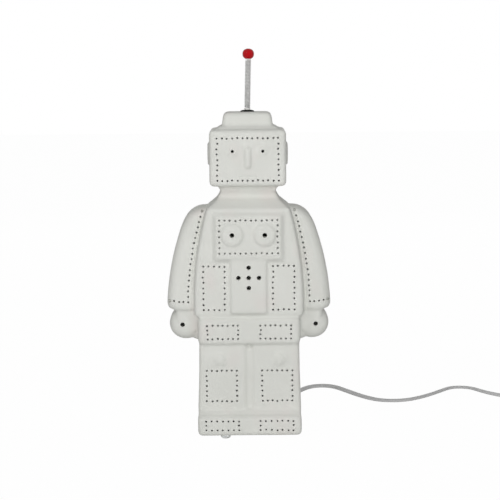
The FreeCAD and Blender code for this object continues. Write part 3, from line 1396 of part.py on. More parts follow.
coil_path = wound_wire(coil_stations(), CORD_DIAMETER, CORD_DIAMETER)
coil = sweep(coil_path, CORD_DIAMETER / 2)
coil_plain = math.pi * CORD_DIAMETER ** 2 / 4 * coil_path.Length
coil_gap = least_gap(coil_path, CORD_DIAMETER, COIL_CHECK_STEP, 3 * COIL_MID_RADIUS)
print("coil length", round(coil_path.Length), "gap", round(coil_gap, 2), "valid", coil.isValid(),
      "volume ratio", round(coil.Volume / coil_plain, 4))
save("cord_coil", coil)

coil_ends = coil_stations()
coil_start = coil_ends[0][0] - coil_ends[0][1] * CORD_DIAMETER
coil_end = coil_ends[-1][0] + coil_ends[-1][1] * CORD_DIAMETER
far_route = [tuple(switch_far_tip), tuple(switch_far_tip + switch_way * CORD_RISE_RUN)]
far_route += CORD_FAR_ROUTE + [tuple(coil_start)]
save("cord_plug_side", route_tube("cord_plug_side", far_route, CORD_DIAMETER / 2))

PLUG_AXIS_Z = PLUG_THICKNESS / 2
plug_way = V(math.cos(math.radians(PLUG_ANGLE)), math.sin(math.radians(PLUG_ANGLE)), 0)
tail_bend = V(CORD_TAIL_BEND[0], CORD_TAIL_BEND[1], PLUG_AXIS_Z)
plug_tip = tail_bend + plug_way * CORD_RISE_RUN
tail_start = coil_end + coil_ends[-1][1] * CORD_RISE_RUN
tail_route = [tuple(coil_end), tuple(tail_start), tuple(tail_bend), tuple(plug_tip)]
save("cord_tail", route_tube("cord_tail", tail_route, CORD_DIAMETER / 2))


def plug_outline(z):
    """Plan outline of the plug's body, x from the end of its strain relief."""
    root = PLUG_RELIEF_LENGTH
    shoulder = root + PLUG_SHOULDER_LENGTH
    front = root + PLUG_BODY_LENGTH
    corners = [
        V(root, -PLUG_SHOULDER_WIDTH / 2, z),
        V(shoulder, -PLUG_WIDTH / 2, z),
        V(front, -PLUG_WIDTH / 2, z),
        V(front, PLUG_WIDTH / 2, z),
        V(shoulder, PLUG_WIDTH / 2, z),
        V(root, PLUG_SHOULDER_WIDTH / 2, z),
    ]
    return Part.Face(Part.makePolygon(corners + corners[:1]))


def plug_pieces():
    """Body, strain relief and pins of the plug, x along the cord from the relief's tip."""
    body = plug_outline(0).extrude(V(0, 0, PLUG_THICKNESS))
    body = body.makeFillet(PLUG_EDGE_RADIUS, body.Edges)
    front = PLUG_RELIEF_LENGTH + PLUG_BODY_LENGTH
    pins = []
    bores = []
    for side in (-1, 1):
        face = V(front, side * PLUG_PIN_SPACING / 2, PLUG_AXIS_Z)
        pin = Part.makeCylinder(PLUG_PIN_RADIUS, PLUG_PIN_LENGTH, face, V(1, 0, 0))
        tip = [edge for edge in pin.Edges if edge.BoundBox.XMin > front + PLUG_PIN_LENGTH - FIT_GAP]
        pin = pin.makeChamfer(PLUG_PIN_CHAMFER, tip)
        root = Part.makeCylinder(PLUG_PIN_ROOT_RADIUS, PLUG_PIN_ROOT, face, V(-1, 0, 0))
        pins.append(fuse([pin, root]))
        bores.append(Part.makeCylinder(PLUG_PIN_ROOT_RADIUS + FIT_GAP, PLUG_PIN_ROOT, face, V(-1, 0, 0)))
    relief = Part.makeCone(
        PLUG_RELIEF_TIP,
        PLUG_RELIEF_ROOT,
        PLUG_RELIEF_LENGTH,
        V(0, 0, PLUG_AXIS_Z),
        V(1, 0, 0),
    )
    return {"plug_body": body.cut(bores), "plug_pins": Part.makeCompound(pins), "plug_relief": relief}


for piece_name, piece in plug_pieces().items():
    save(piece_name, lay(piece, (plug_tip.x, plug_tip.y), PLUG_ANGLE))
pin_middle = plug_tip + plug_way * (PLUG_RELIEF_LENGTH + PLUG_BODY_LENGTH + PLUG_PIN_LENGTH / 2)
print("plug tip", plug_tip, "pins' middle", pin_middle, "way", plug_way)
print("heights: collar", round(COLLAR_Z, 2), "spring foot", round(COLLAR_TOP, 2), "bulb top", round(BULB_TOP, 2))
print("rocker pivot z", ROCKER_PIVOT_Z, "bulb contact z", BULB_CONTACT_Z)
for node, solid in NODES.items():
    if not solid.isValid() or not solid.Solids:
        print("check this node:", node)
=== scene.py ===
"""Looks of a robot shaped table lamp: bisque porcelain shell, sprung antenna, flat cord, switch and plug.

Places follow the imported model, and the shell's outline also follows the photograph, within a few
millimetres of the model. Sizes are millimetres unless a name says otherwise, and a finished mesh is
scaled to metres once.
"""

import logging
import math
import random
from dataclasses import dataclass, field
from enum import Enum

import bmesh
import bpy
from mathutils import Matrix, Vector, noise


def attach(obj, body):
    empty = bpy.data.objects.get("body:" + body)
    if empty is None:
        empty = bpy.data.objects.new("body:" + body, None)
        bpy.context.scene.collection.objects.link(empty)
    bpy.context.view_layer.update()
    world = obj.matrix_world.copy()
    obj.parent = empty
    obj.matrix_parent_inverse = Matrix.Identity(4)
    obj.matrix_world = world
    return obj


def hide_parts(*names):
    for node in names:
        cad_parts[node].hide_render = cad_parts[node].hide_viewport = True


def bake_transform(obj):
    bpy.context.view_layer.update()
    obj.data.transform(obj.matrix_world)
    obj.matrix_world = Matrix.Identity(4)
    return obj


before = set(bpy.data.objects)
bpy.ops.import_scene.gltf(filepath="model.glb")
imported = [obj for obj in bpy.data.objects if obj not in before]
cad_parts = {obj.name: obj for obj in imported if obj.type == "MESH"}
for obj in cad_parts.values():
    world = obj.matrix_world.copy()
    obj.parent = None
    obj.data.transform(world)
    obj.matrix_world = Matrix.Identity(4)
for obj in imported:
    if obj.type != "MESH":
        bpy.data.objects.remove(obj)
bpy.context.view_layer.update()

log = logging.getLogger("robot_lamp")

MM = 0.001

UP = Vector((0, 0, 1))
BACKWARD = Vector((0, 1, 0))
FORWARD = Vector((0, -1, 0))
RIGHT = Vector((1, 0, 0))

Form = bmesh.types.BMesh
Piece = bpy.types.Object
Material = bpy.types.Material
Socket = bpy.types.NodeSocket
Point = tuple[float, float]
Place = tuple[float, float, float]
Colour = tuple[float, float, float]


class Body(Enum):
    """Moving bodies of the lamp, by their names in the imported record."""

    LAMP = "lamp_body"
    ANTENNA_FOOT = "antenna_foot"
    ANTENNA = "antenna"
    LAMPHOLDER = "lampholder"
    BULB_TIP = "bulb_tip"
    BULB = "bulb"
    ROCKER = "rocker"


class Metal(Enum):
    """Metals on the lamp: colour, roughness and the size of their drawing marks per metre."""

    ZINC = ((0.62, 0.62, 0.61), 0.38, 900.0)
    SPRING_WIRE = ((0.66, 0.66, 0.65), 0.40, 2600.0)
    DARK_STEEL = ((0.34, 0.35, 0.37), 0.42, 900.0)
    BRASS = ((0.80, 0.60, 0.27), 0.30, 1200.0)
    CAP_ALUMINIUM = ((0.76, 0.75, 0.72), 0.34, 1500.0)
    SOLDER = ((0.55, 0.55, 0.54), 0.50, 1800.0)
    NICKEL = ((0.72, 0.70, 0.66), 0.18, 1400.0)
    TUNGSTEN = ((0.16, 0.16, 0.17), 0.55, 3000.0)


class Plastic(Enum):
    """Plastics and rubbers: colour, second colour, roughness, grain per metre and grain height in mm."""

    CORD = ((0.56, 0.56, 0.56), (0.60, 0.60, 0.595), 0.50, 1400.0, 0.02)
    SWITCH = ((0.56, 0.56, 0.55), (0.60, 0.60, 0.59), 0.42, 2200.0, 0.03)
    ROCKER = ((0.50, 0.50, 0.49), (0.53, 0.53, 0.52), 0.24, 1500.0, 0.006)
    PLUG = ((0.50, 0.50, 0.50), (0.54, 0.54, 0.53), 0.44, 2000.0, 0.03)
    HOLDER = ((0.78, 0.77, 0.73), (0.81, 0.80, 0.76), 0.40, 1600.0, 0.01)
    GROMMET = ((0.003, 0.003, 0.003), (0.006, 0.006, 0.006), 0.85, 1500.0, 0.02)
    COLLAR = ((0.72, 0.72, 0.69), (0.76, 0.76, 0.73), 0.45, 1500.0, 0.01)
    PAD = ((0.55, 0.56, 0.56), (0.60, 0.61, 0.61), 0.35, 900.0, 0.02)
    LIVE = ((0.20, 0.07, 0.03), (0.24, 0.09, 0.04), 0.45, 1500.0, 0.01)
    NEUTRAL = ((0.03, 0.10, 0.30), (0.04, 0.12, 0.34), 0.45, 1500.0, 0.01)


class Shader:
    """A node material under construction, on Object coordinates."""

    def __init__(self, name: str) -> None:
        """Start a material.

        Args:
            name: Name of the material.
        """
        self.material = bpy.data.materials.new(name)
        self.material.use_nodes = True
        self.tree = self.material.node_tree
        self.surface = self.tree.nodes["Principled BSDF"]
        self.place = self.tree.nodes.new("ShaderNodeTexCoord").outputs["Object"]

    def set(self, **values: float | tuple[float, ...]) -> None:
        """Set constant values on the surface shader.

        Args:
            values: Socket names with underscores for spaces, and their values.
        """
        for name, value in values.items():
            self.surface.inputs[name.replace("_", " ")].default_value = value

    def link(self, output: Socket, socket: str) -> None:
        """Link an output to a socket of the surface shader.

        Args:
            output: The socket that feeds.
            socket: Name of the surface shader's socket.
        """
        self.tree.links.new(output, self.surface.inputs[socket])

    def noise(self, scale: float, detail: float = 2.0, stretch: Place = (1, 1, 1)) -> Socket:
        """Add a noise pattern.

        Args:
            scale: Repeats per metre.
            detail: Octaves of finer noise.
            stretch: Scale of the pattern along each axis.

        Returns:
            The pattern's value socket.
        """
        mapping = self.tree.nodes.new("ShaderNodeMapping")
        mapping.inputs["Scale"].default_value = stretch
        self.tree.links.new(self.place, mapping.inputs["Vector"])
        texture = self.tree.nodes.new("ShaderNodeTexNoise")
        texture.inputs["Scale"].default_value = scale
        texture.inputs["Detail"].default_value = detail
        self.tree.links.new(mapping.outputs["Vector"], texture.inputs["Vector"])
        return texture.outputs["Fac"]

    def mottle(self, pattern: Socket, first: Colour, second: Colour, spread: float = 0.15) -> Socket:
        """Turn a pattern into clouds between two colours.

        Args:
            pattern: The pattern's socket.
            first: Colour of its low places.
            second: Colour of its high places.
            spread: How far from the pattern's middle the colours are pure.

        Returns:
            The colour socket.
        """
        node = self.tree.nodes.new("ShaderNodeValToRGB")
        low, high = node.color_ramp.elements
        low.position = 0.5 - spread
        low.color = (*first, 1.0)
        high.position = 0.5 + spread
        high.color = (*second, 1.0)
        self.tree.links.new(pattern, node.inputs["Fac"])
        return node.outputs["Color"]

    def blend(self, share: Socket, first: Socket, second: Colour) -> Socket:
        """Mix a colour socket towards a plain colour.

        Args:
            share: How much of the plain colour.
            first: The colour socket.
            second: The plain colour.

        Returns:
            The mixed colour socket.
        """
        node = self.tree.nodes.new("ShaderNodeMix")
        node.data_type = "RGBA"
        colour_a, colour_b, mixed = node.inputs[6], node.inputs[7], node.outputs[2]
        self.tree.links.new(share, node.inputs["Factor"])
        self.tree.links.new(first, colour_a)
        colour_b.default_value = (*second, 1.0)
        return mixed

    def between(
        self, value: Socket, low: float, high: float, floor: float = 0.3, ceiling: float = 0.7
    ) -> Socket:
        """Map a pattern's usual span to a range.

        Args:
            value: The pattern's socket.
            low: Result at the floor.
            high: Result at the ceiling.
            floor: Low end of the pattern.
            ceiling: High end of the pattern.

        Returns:
            The mapped socket.
        """
        node = self.tree.nodes.new("ShaderNodeMapRange")
        node.inputs["From Min"].default_value = floor
        node.inputs["From Max"].default_value = ceiling
        node.inputs["To Min"].default_value = low
        node.inputs["To Max"].default_value = high
        self.tree.links.new(value, node.inputs["Value"])
        return node.outputs["Result"]

    def roughen(self, pattern: Socket, low: float, high: float) -> None:
        """Let the surface's roughness follow a pattern between two values."""
        self.link(self.between(pattern, low, high), "Roughness")

    def bump(self, height: Socket, distance: float, before: Socket | None = None) -> Socket:
        """Add a bump layer and link it to the surface.

        Args:
            height: The pattern's socket.
            distance: Height of the pattern in millimetres.
            before: Normal of an earlier bump layer.

        Returns:
            The normal socket.
        """
        node = self.tree.nodes.new("ShaderNodeBump")
        node.inputs["Distance"].default_value = distance * MM
        self.tree.links.new(height, node.inputs["Height"])
        if before is not None:
            self.tree.links.new(before, node.inputs["Normal"])
        self.link(node.outputs["Normal"], "Normal")
        return node.outputs["Normal"]


@dataclass(frozen=True)
class BisqueFinish:
    """Unglazed, sponged porcelain: near white, with faint warm clouds and a fine grain."""

    pale: Colour = (0.735, 0.74, 0.70)
    deep: Colour = (0.69, 0.697, 0.655)
    clouds_per_metre: float = 22.0
    clouds_spread: float = 0.2
    blush: Colour = (0.74, 0.655, 0.635)
    blush_per_metre: float = 30.0
    blush_stretch: Place = (1.3, 1.0, 0.8)
    blush_share: float = 0.30
    blush_from: float = 0.56
    blush_full: float = 0.78
    sheen_per_metre: float = 120.0
    smoothest: float = 0.68
    roughest: float = 0.82
    gloss: float = 0.32
    grain_per_metre: float = 1500.0
    grain_height: float = 0.035
    sponge_per_metre: float = 260.0
    sponge_height: float = 0.09

    def build(self) -> Material:
        """Return the material."""
        shader = Shader("bisque_porcelain")
        clouds = shader.noise(self.clouds_per_metre, 3.0)
        ground = shader.mottle(clouds, self.deep, self.pale, self.clouds_spread)
        patches = shader.noise(self.blush_per_metre, 1.0, self.blush_stretch)
        warm = shader.between(patches, 0.0, self.blush_share, self.blush_from, self.blush_full)
        shader.link(shader.blend(warm, ground, self.blush), "Base Color")
        shader.roughen(shader.noise(self.sheen_per_metre), self.smoothest, self.roughest)
        shader.set(Specular_IOR_Level=self.gloss)
        sponge = shader.bump(shader.noise(self.sponge_per_metre, 2.0), self.sponge_height)
        shader.bump(shader.noise(self.grain_per_metre, 3.0), self.grain_height, sponge)
        return shader.material


@dataclass(frozen=True)
class MetalFinish:
    """A metal with fine drawing marks and handling wear."""

    metal: Metal
    metallic: float = 1.0
    worn_share: float = 0.86
    marks_per_cloud: float = 8.0
    mark_stretch: Place = (1.0, 1.0, 0.12)
    mark_height: float = 0.006
    smoothest: float = 0.8
    roughest: float = 1.25

    def build(self) -> Material:
        """Return the material."""
        colour, roughness, marks = self.metal.value
        shader = Shader(self.metal.name.lower() + "_metal")
        worn = tuple(channel * self.worn_share for channel in colour)
        wear = shader.noise(marks / self.marks_per_cloud, 3.0)
        shader.link(shader.mottle(wear, worn, colour), "Base Color")
        shader.set(Metallic=self.metallic)
        streaks = shader.noise(marks, 2.0, self.mark_stretch)
        shader.roughen(streaks, roughness * self.smoothest, roughness * self.roughest)
        shader.bump(streaks, self.mark_height)
        return shader.material


@dataclass(frozen=True)
class PlasticFinish:
    """Moulded plastic or rubber with a fine grain and uneven sheen."""

    plastic: Plastic
    coat: float = 0.0
    gloss: float = 0.5
    coat_roughness: float = 0.08
    clouds_per_metre: float = 60.0
    grains_per_cloud: float = 6.0
    uneven: float = 0.12

    def build(self) -> Material:
        """Return the material."""
        first, second, roughness, grain, height = self.plastic.value
        shader = Shader(self.plastic.name.lower() + "_plastic")
        shader.link(shader.mottle(shader.noise(self.clouds_per_metre, 3.0), first, second), "Base Color")
        sheen = shader.noise(grain / self.grains_per_cloud)
        shader.roughen(sheen, roughness * (1.0 - self.uneven), roughness * (1.0 + self.uneven))
        shader.set(Coat_Weight=self.coat, Coat_Roughness=self.coat_roughness, Specular_IOR_Level=self.gloss)
        shader.bump(shader.noise(grain, 2.0), height)
        return shader.material


@dataclass(frozen=True)
class LacquerFinish:
    """Deep gloss lacquer of the bead, with a soft orange-peel ripple."""

    bright: Colour = (0.50, 0.0, 0.005)
    deep: Colour = (0.43, 0.0, 0.004)
    clouds_per_metre: float = 260.0
    sheen_per_metre: float = 500.0
    smoothest: float = 0.05
    roughest: float = 0.09
    gloss: float = 0.14
    ripple_per_metre: float = 420.0
    ripple_height: float = 0.015

    def build(self) -> Material:
        """Return the material."""
        shader = Shader("red_lacquer")
        shader.link(shader.mottle(shader.noise(self.clouds_per_metre), self.deep, self.bright), "Base Color")
        shader.roughen(shader.noise(self.sheen_per_metre), self.smoothest, self.roughest)
        shader.set(Specular_IOR_Level=self.gloss)
        shader.bump(shader.noise(self.ripple_per_metre, 1.0), self.ripple_height)
        return shader.material


@dataclass(frozen=True)
class GlassFinish:
    """Glass or silicone: clear, frosted or opaque."""

    name: str
    tint: Colour
    roughness: float
    clear: float = 1.0
    refraction: float = 1.5
    shade: float = 0.96
    clouds_per_metre: float = 150.0
    frost_per_metre: float = 1800.0
    frost_height: float = 0.01
    uneven: float = 0.15

    def build(self) -> Material:
        """Return the material."""
        shader = Shader(self.name)
        shaded = tuple(channel * self.shade for channel in self.tint)
        shader.link(shader.mottle(shader.noise(self.clouds_per_metre), shaded, self.tint), "Base Color")
        frost = shader.noise(self.frost_per_metre, 2.0)
        shader.roughen(frost, self.roughness * (1.0 - self.uneven), self.roughness * (1.0 + self.uneven))
        shader.set(Transmission_Weight=self.clear, IOR=self.refraction)
        shader.bump(frost, self.frost_height)
        return shader.material


@dataclass(frozen=True)
class Level:
    """A rectangle at one height: its x range and its y range."""

    z: float
    left: float
    right: float
    front: float
    back: float


def centred(z: float, half_width: float, front: float, back: float) -> Level:
    """Level that is symmetric in x."""
    return Level(z, -half_width, half_width, front, back)


def frustum(form: Form, low: Level, high: Level, bevel: float) -> None:
    """Add a straight-sided block between two levels.

    Args:
        form: The mesh to add to.
        low: Lower rectangle.
        high: Upper rectangle.
        bevel: Radius of its rounded edges.
    """
    corners = bmesh.ops.create_cube(form, size=2.0)["verts"]
    for corner in corners:
        level = high if corner.co.z > 0 else low
        x = level.right if corner.co.x > 0 else level.left
        y = level.back if corner.co.y > 0 else level.front
        corner.co = (x, y, level.z)
    round_edges(form, corners, bevel)


def round_edges(form: Form, corners: list[bmesh.types.BMVert], radius: float, segments: int = 4) -> None:
    """Bevel every edge among some vertices.

    Args:
        form: The mesh.
        corners: Vertices whose shared edges are rounded.
        radius: Width of the bevel.
        segments: Facets across the bevel.
    """
    chosen = set(corners)
    edges = [edge for edge in form.edges if edge.verts[0] in chosen and edge.verts[1] in chosen]
    bmesh.ops.bevel(
        form,
        geom=edges,
        offset=radius,
        offset_type="OFFSET",
        segments=segments,
        profile=0.5,
        affect="EDGES",
        clamp_overlap=True,
        material=-1,
    )


@dataclass(frozen=True)
class Block:
    """A straight-sided block of the casting: what it is, its lower and upper rectangle, its edge radius."""

    name: str
    low: Level
    high: Level
    bevel: float


def upright(
    name: str, bottom: float, top: float, half: float, front: float, back: float, bevel: float
) -> Block:
    """Block with the same rectangle at both ends, symmetric in x.

    Args:
        name: What it is.
        bottom: Its lower end.
        top: Its upper end.
        half: Half its width.
        front: y of its front.
        back: y of its back.
        bevel: Radius of its edges.

    Returns:
        The block.
    """
    return Block(name, centred(bottom, half, front, back), centred(top, half, front, back), bevel)


def add_blocks(form: Form, blocks: list[Block]) -> None:
    """Add blocks to a mesh, in their order."""
    for block in blocks:
        frustum(form, block.low, block.high, block.bevel)
        log.debug("block: %s", block.name)


@dataclass(frozen=True)
class Panel:
    """A panel that stands out towards -Y with sloping borders: its outline at the face, rise and slope."""

    half_x: float
    z_low: float
    z_high: float
    face_y: float
    rise: float
    slope: float
    bevel: float = 0.8
    root: float = 3.0

    def add_to(self, form: Form) -> None:
        """Add the panel to a mesh, rooted behind the face."""
        corners = bmesh.ops.create_cube(form, size=2.0)["verts"]
        for corner in corners:
            in_front = corner.co.y < 0
            inset = self.slope if in_front else -self.slope * self.root / self.rise
            x = math.copysign(self.half_x - inset, corner.co.x)
            z = self.z_high - inset if corner.co.z > 0 else self.z_low + inset
            corner.co = (x, self.face_y - self.rise if in_front else self.face_y + self.root, z)
        round_edges(form, corners, self.bevel, 2)


def drum(
    form: Form,
    centre: Vector,
    way: Vector,
    radius: float,
    depth: float,
    taper: float = 0.0,
    segments: int = 48,
) -> None:
    """Add a capped cylinder or cone.

    Args:
        form: The mesh to add to.
        centre: Middle of its axis.
        way: Direction of its axis.
        radius: Radius at its start.
        depth: Length of its axis.
        taper: How much smaller its far end is.
        segments: Sides.
    """
    turned = way.normalized().to_track_quat("Z", "Y").to_matrix().to_4x4()
    bmesh.ops.create_cone(
        form,
        cap_ends=True,
        segments=segments,
        radius1=radius,
        radius2=radius - taper,
        depth=depth,
        matrix=Matrix.Translation(centre) @ turned,
    )


def ball(form: Form, centre: Vector, radius: float, segments: int = 40) -> None:
    """Add a ball.

    Args:
        form: The mesh to add to.
        centre: Its centre.
        radius: Its radius.
        segments: Facets round it.
    """
    bmesh.ops.create_uvsphere(
        form, u_segments=segments, v_segments=segments // 2, radius=radius, matrix=Matrix.Translation(centre)
    )


def low_dome(form: Form, x: float, z: float, face_y: float, radius: float, rise: float) -> None:
    """Add a ball that shows as a low dome on a face that looks to -Y.

    Args:
        form: The mesh to add to.
        x: Place across.
        z: Height.
        face_y: The face it stands on.
        radius: Radius of the dome on the face.
        rise: How far it stands out.
    """
    size = (radius * radius + rise * rise) / (2 * rise)
    ball(form, Vector((x, face_y - rise + size, z)), size, segments=64)


def add_mirrored(form: Form) -> None:
    """Add the mirror image of everything in a mesh on the other side of x = 0."""
    copies = bmesh.ops.duplicate(form, geom=form.verts[:] + form.edges[:] + form.faces[:])["geom"]
    verts = [item for item in copies if isinstance(item, bmesh.types.BMVert)]
    faces = [item for item in copies if isinstance(item, bmesh.types.BMFace)]
    bmesh.ops.scale(form, vec=(-1, 1, 1), verts=verts)
    bmesh.ops.reverse_faces(form, faces=faces)


def pour(part: Form, form: Form) -> None:
    """Add one mesh under construction to another and free it.

    Args:
        part: The mesh that is added; it is freed.
        form: The mesh to add to.
    """
    mesh = bpy.data.meshes.new("part")
    part.to_mesh(mesh)
    part.free()
    form.from_mesh(mesh)
    bpy.data.meshes.remove(mesh)


def circle_through(first: Point, middle: Point, last: Point) -> tuple[float, float, float]:
    """Circle through three points of a plane.

    Args:
        first: One point.
        middle: A point between.
        last: The other end.

    Returns:
        Centre and radius.
    """
    (ax, ay), (bx, by), (cx, cy) = first, middle, last
    twice = 2 * (ax * (by - cy) + bx * (cy - ay) + cx * (ay - by))
    a, b, c = ax * ax + ay * ay, bx * bx + by * by, cx * cx + cy * cy
    x = (a * (by - cy) + b * (cy - ay) + c * (ay - by)) / twice
    y = (a * (cx - bx) + b * (ax - cx) + c * (bx - ax)) / twice
    return x, y, math.hypot(ax - x, ay - y)


def arc_x(first: Point, middle: Point, last: Point, z: float) -> float:
    """Right-hand x at a height on the circle through three points, all given as x and z."""
    x, y, radius = circle_through(first, middle, last)
    return x + math.sqrt(max(radius * radius - (z - y) ** 2, 0.0))


def slab(form: Form, outline: list[Point], front: float, back: float, bevel: float) -> None:
    """Add an outline in x and z, extruded along y.

    Args:
        form: The mesh to add to.
        outline: Its points.
        front: y of its front.
        back: y of its back.
        bevel: Radius of its rims, or 0.
    """
    verts = [form.verts.new((x, front, z)) for x, z in outline]
    face = form.faces.new(verts)
    grown = bmesh.ops.extrude_face_region(form, geom=[face])["geom"]
    moved = [item for item in grown if isinstance(item, bmesh.types.BMVert)]
    bmesh.ops.translate(form, vec=(0, back - front, 0), verts=moved)
    if bevel > 0:
        round_edges(form, verts + moved, bevel)


def as_object(form: Form, name: str) -> Piece:
    """Turn a mesh under construction into a linked object, still in millimetres.

    Args:
        form: The mesh; it is freed.
        name: Name of the object.

    Returns:
        The object.
    """
    mesh = bpy.data.meshes.new(name)
    form.to_mesh(mesh)
    form.free()
    piece = bpy.data.objects.new(name, mesh)
    bpy.context.scene.collection.objects.link(piece)
    return piece


def apply_modifiers(piece: Piece) -> None:
    """Replace an object's mesh by what its modifiers make of it."""
    graph = bpy.context.evaluated_depsgraph_get()
    mesh = bpy.data.meshes.new_from_object(piece.evaluated_get(graph))
    piece.modifiers.clear()
    piece.data = mesh


def cut(piece: Piece, tool: Piece) -> None:
    """Take a tool's volume out of a piece and delete the tool.

    Args:
        piece: The piece that is cut.
        tool: The object that cuts.
    """
    modifier = piece.modifiers.new("cut", "BOOLEAN")
    modifier.operation = "DIFFERENCE"
    modifier.solver = "MANIFOLD"
    modifier.object = tool
    apply_modifiers(piece)
    bpy.data.objects.remove(tool)


def remesh(piece: Piece, voxel: float) -> None:
    """Merge overlapping closed forms into one even skin.

    Args:
        piece: The object.
        voxel: Size of the new faces.
    """
    modifier = piece.modifiers.new("skin", "REMESH")
    modifier.mode = "VOXEL"
    modifier.voxel_size = voxel
    apply_modifiers(piece)


def thin_out(piece: Piece, share: float) -> None:
    """Collapse a mesh to a share of its faces."""
    modifier = piece.modifiers.new("thin", "DECIMATE")
    modifier.ratio = share
    apply_modifiers(piece)


def dress(piece: Piece, material: Material, smooth_angle: float = 40.0) -> None:
    """Give a new piece its material, slot and smooth shading.

    Args:
        piece: The piece.
        material: Its material.
        smooth_angle: Edges sharper than this stay sharp, in degrees.
    """
    piece.data.materials.clear()
    piece.data.materials.append(material)
    if piece.type == "MESH":
        piece.data.shade_smooth()
        piece.data.set_sharp_from_angle(angle=math.radians(smooth_angle))


def to_metres(piece: Piece) -> None:
    """Scale a millimetre mesh to metres about the origin."""
    piece.data.transform(Matrix.Scale(MM, 4))


def spun(profile: list[Point], steps: int = 48) -> Form:
    """Spin a half section about Z into a closed form.

    Args:
        profile: Radius and height of each point, from the lower end on the axis or ring to the upper.
        steps: Sides round the axis.

    Returns:
        The new mesh.
    """
    form = bmesh.new()
    verts = [form.verts.new((radius, 0, z)) for radius, z in profile]
    edges = [form.edges.new(pair) for pair in zip(verts, verts[1:])]
    bmesh.ops.spin(
        form,
        geom=verts + edges,
        cent=(0, 0, 0),
        axis=(0, 0, 1),
        angle=math.tau,
        steps=steps,
        use_merge=True,
    )
    bmesh.ops.remove_doubles(form, verts=form.verts, dist=1e-4)
    bmesh.ops.recalc_face_normals(form, faces=form.faces)
    return form


@dataclass(frozen=True)
class HoleRow:
    """A rectangle of pinholes: x and z ranges, holes across and between the corners, y of the face."""

    left: float
    right: float
    low: float
    high: float
    across: int
    between: int
    face: float
    mirrored: bool = True

    def places(self) -> list[Point]:
        """Return the hole centres as x and z."""
        found = []
        for index in range(self.across):
            x = self.left + (self.right - self.left) * index / (self.across - 1)
            found += [(x, self.low), (x, self.high)]
        for index in range(1, self.between + 1):
            z = self.low + (self.high - self.low) * index / (self.between + 1)
            found += [(self.left, z), (self.right, z)]
        if self.mirrored:
            found += [(-x, z) for x, z in found]
        return found


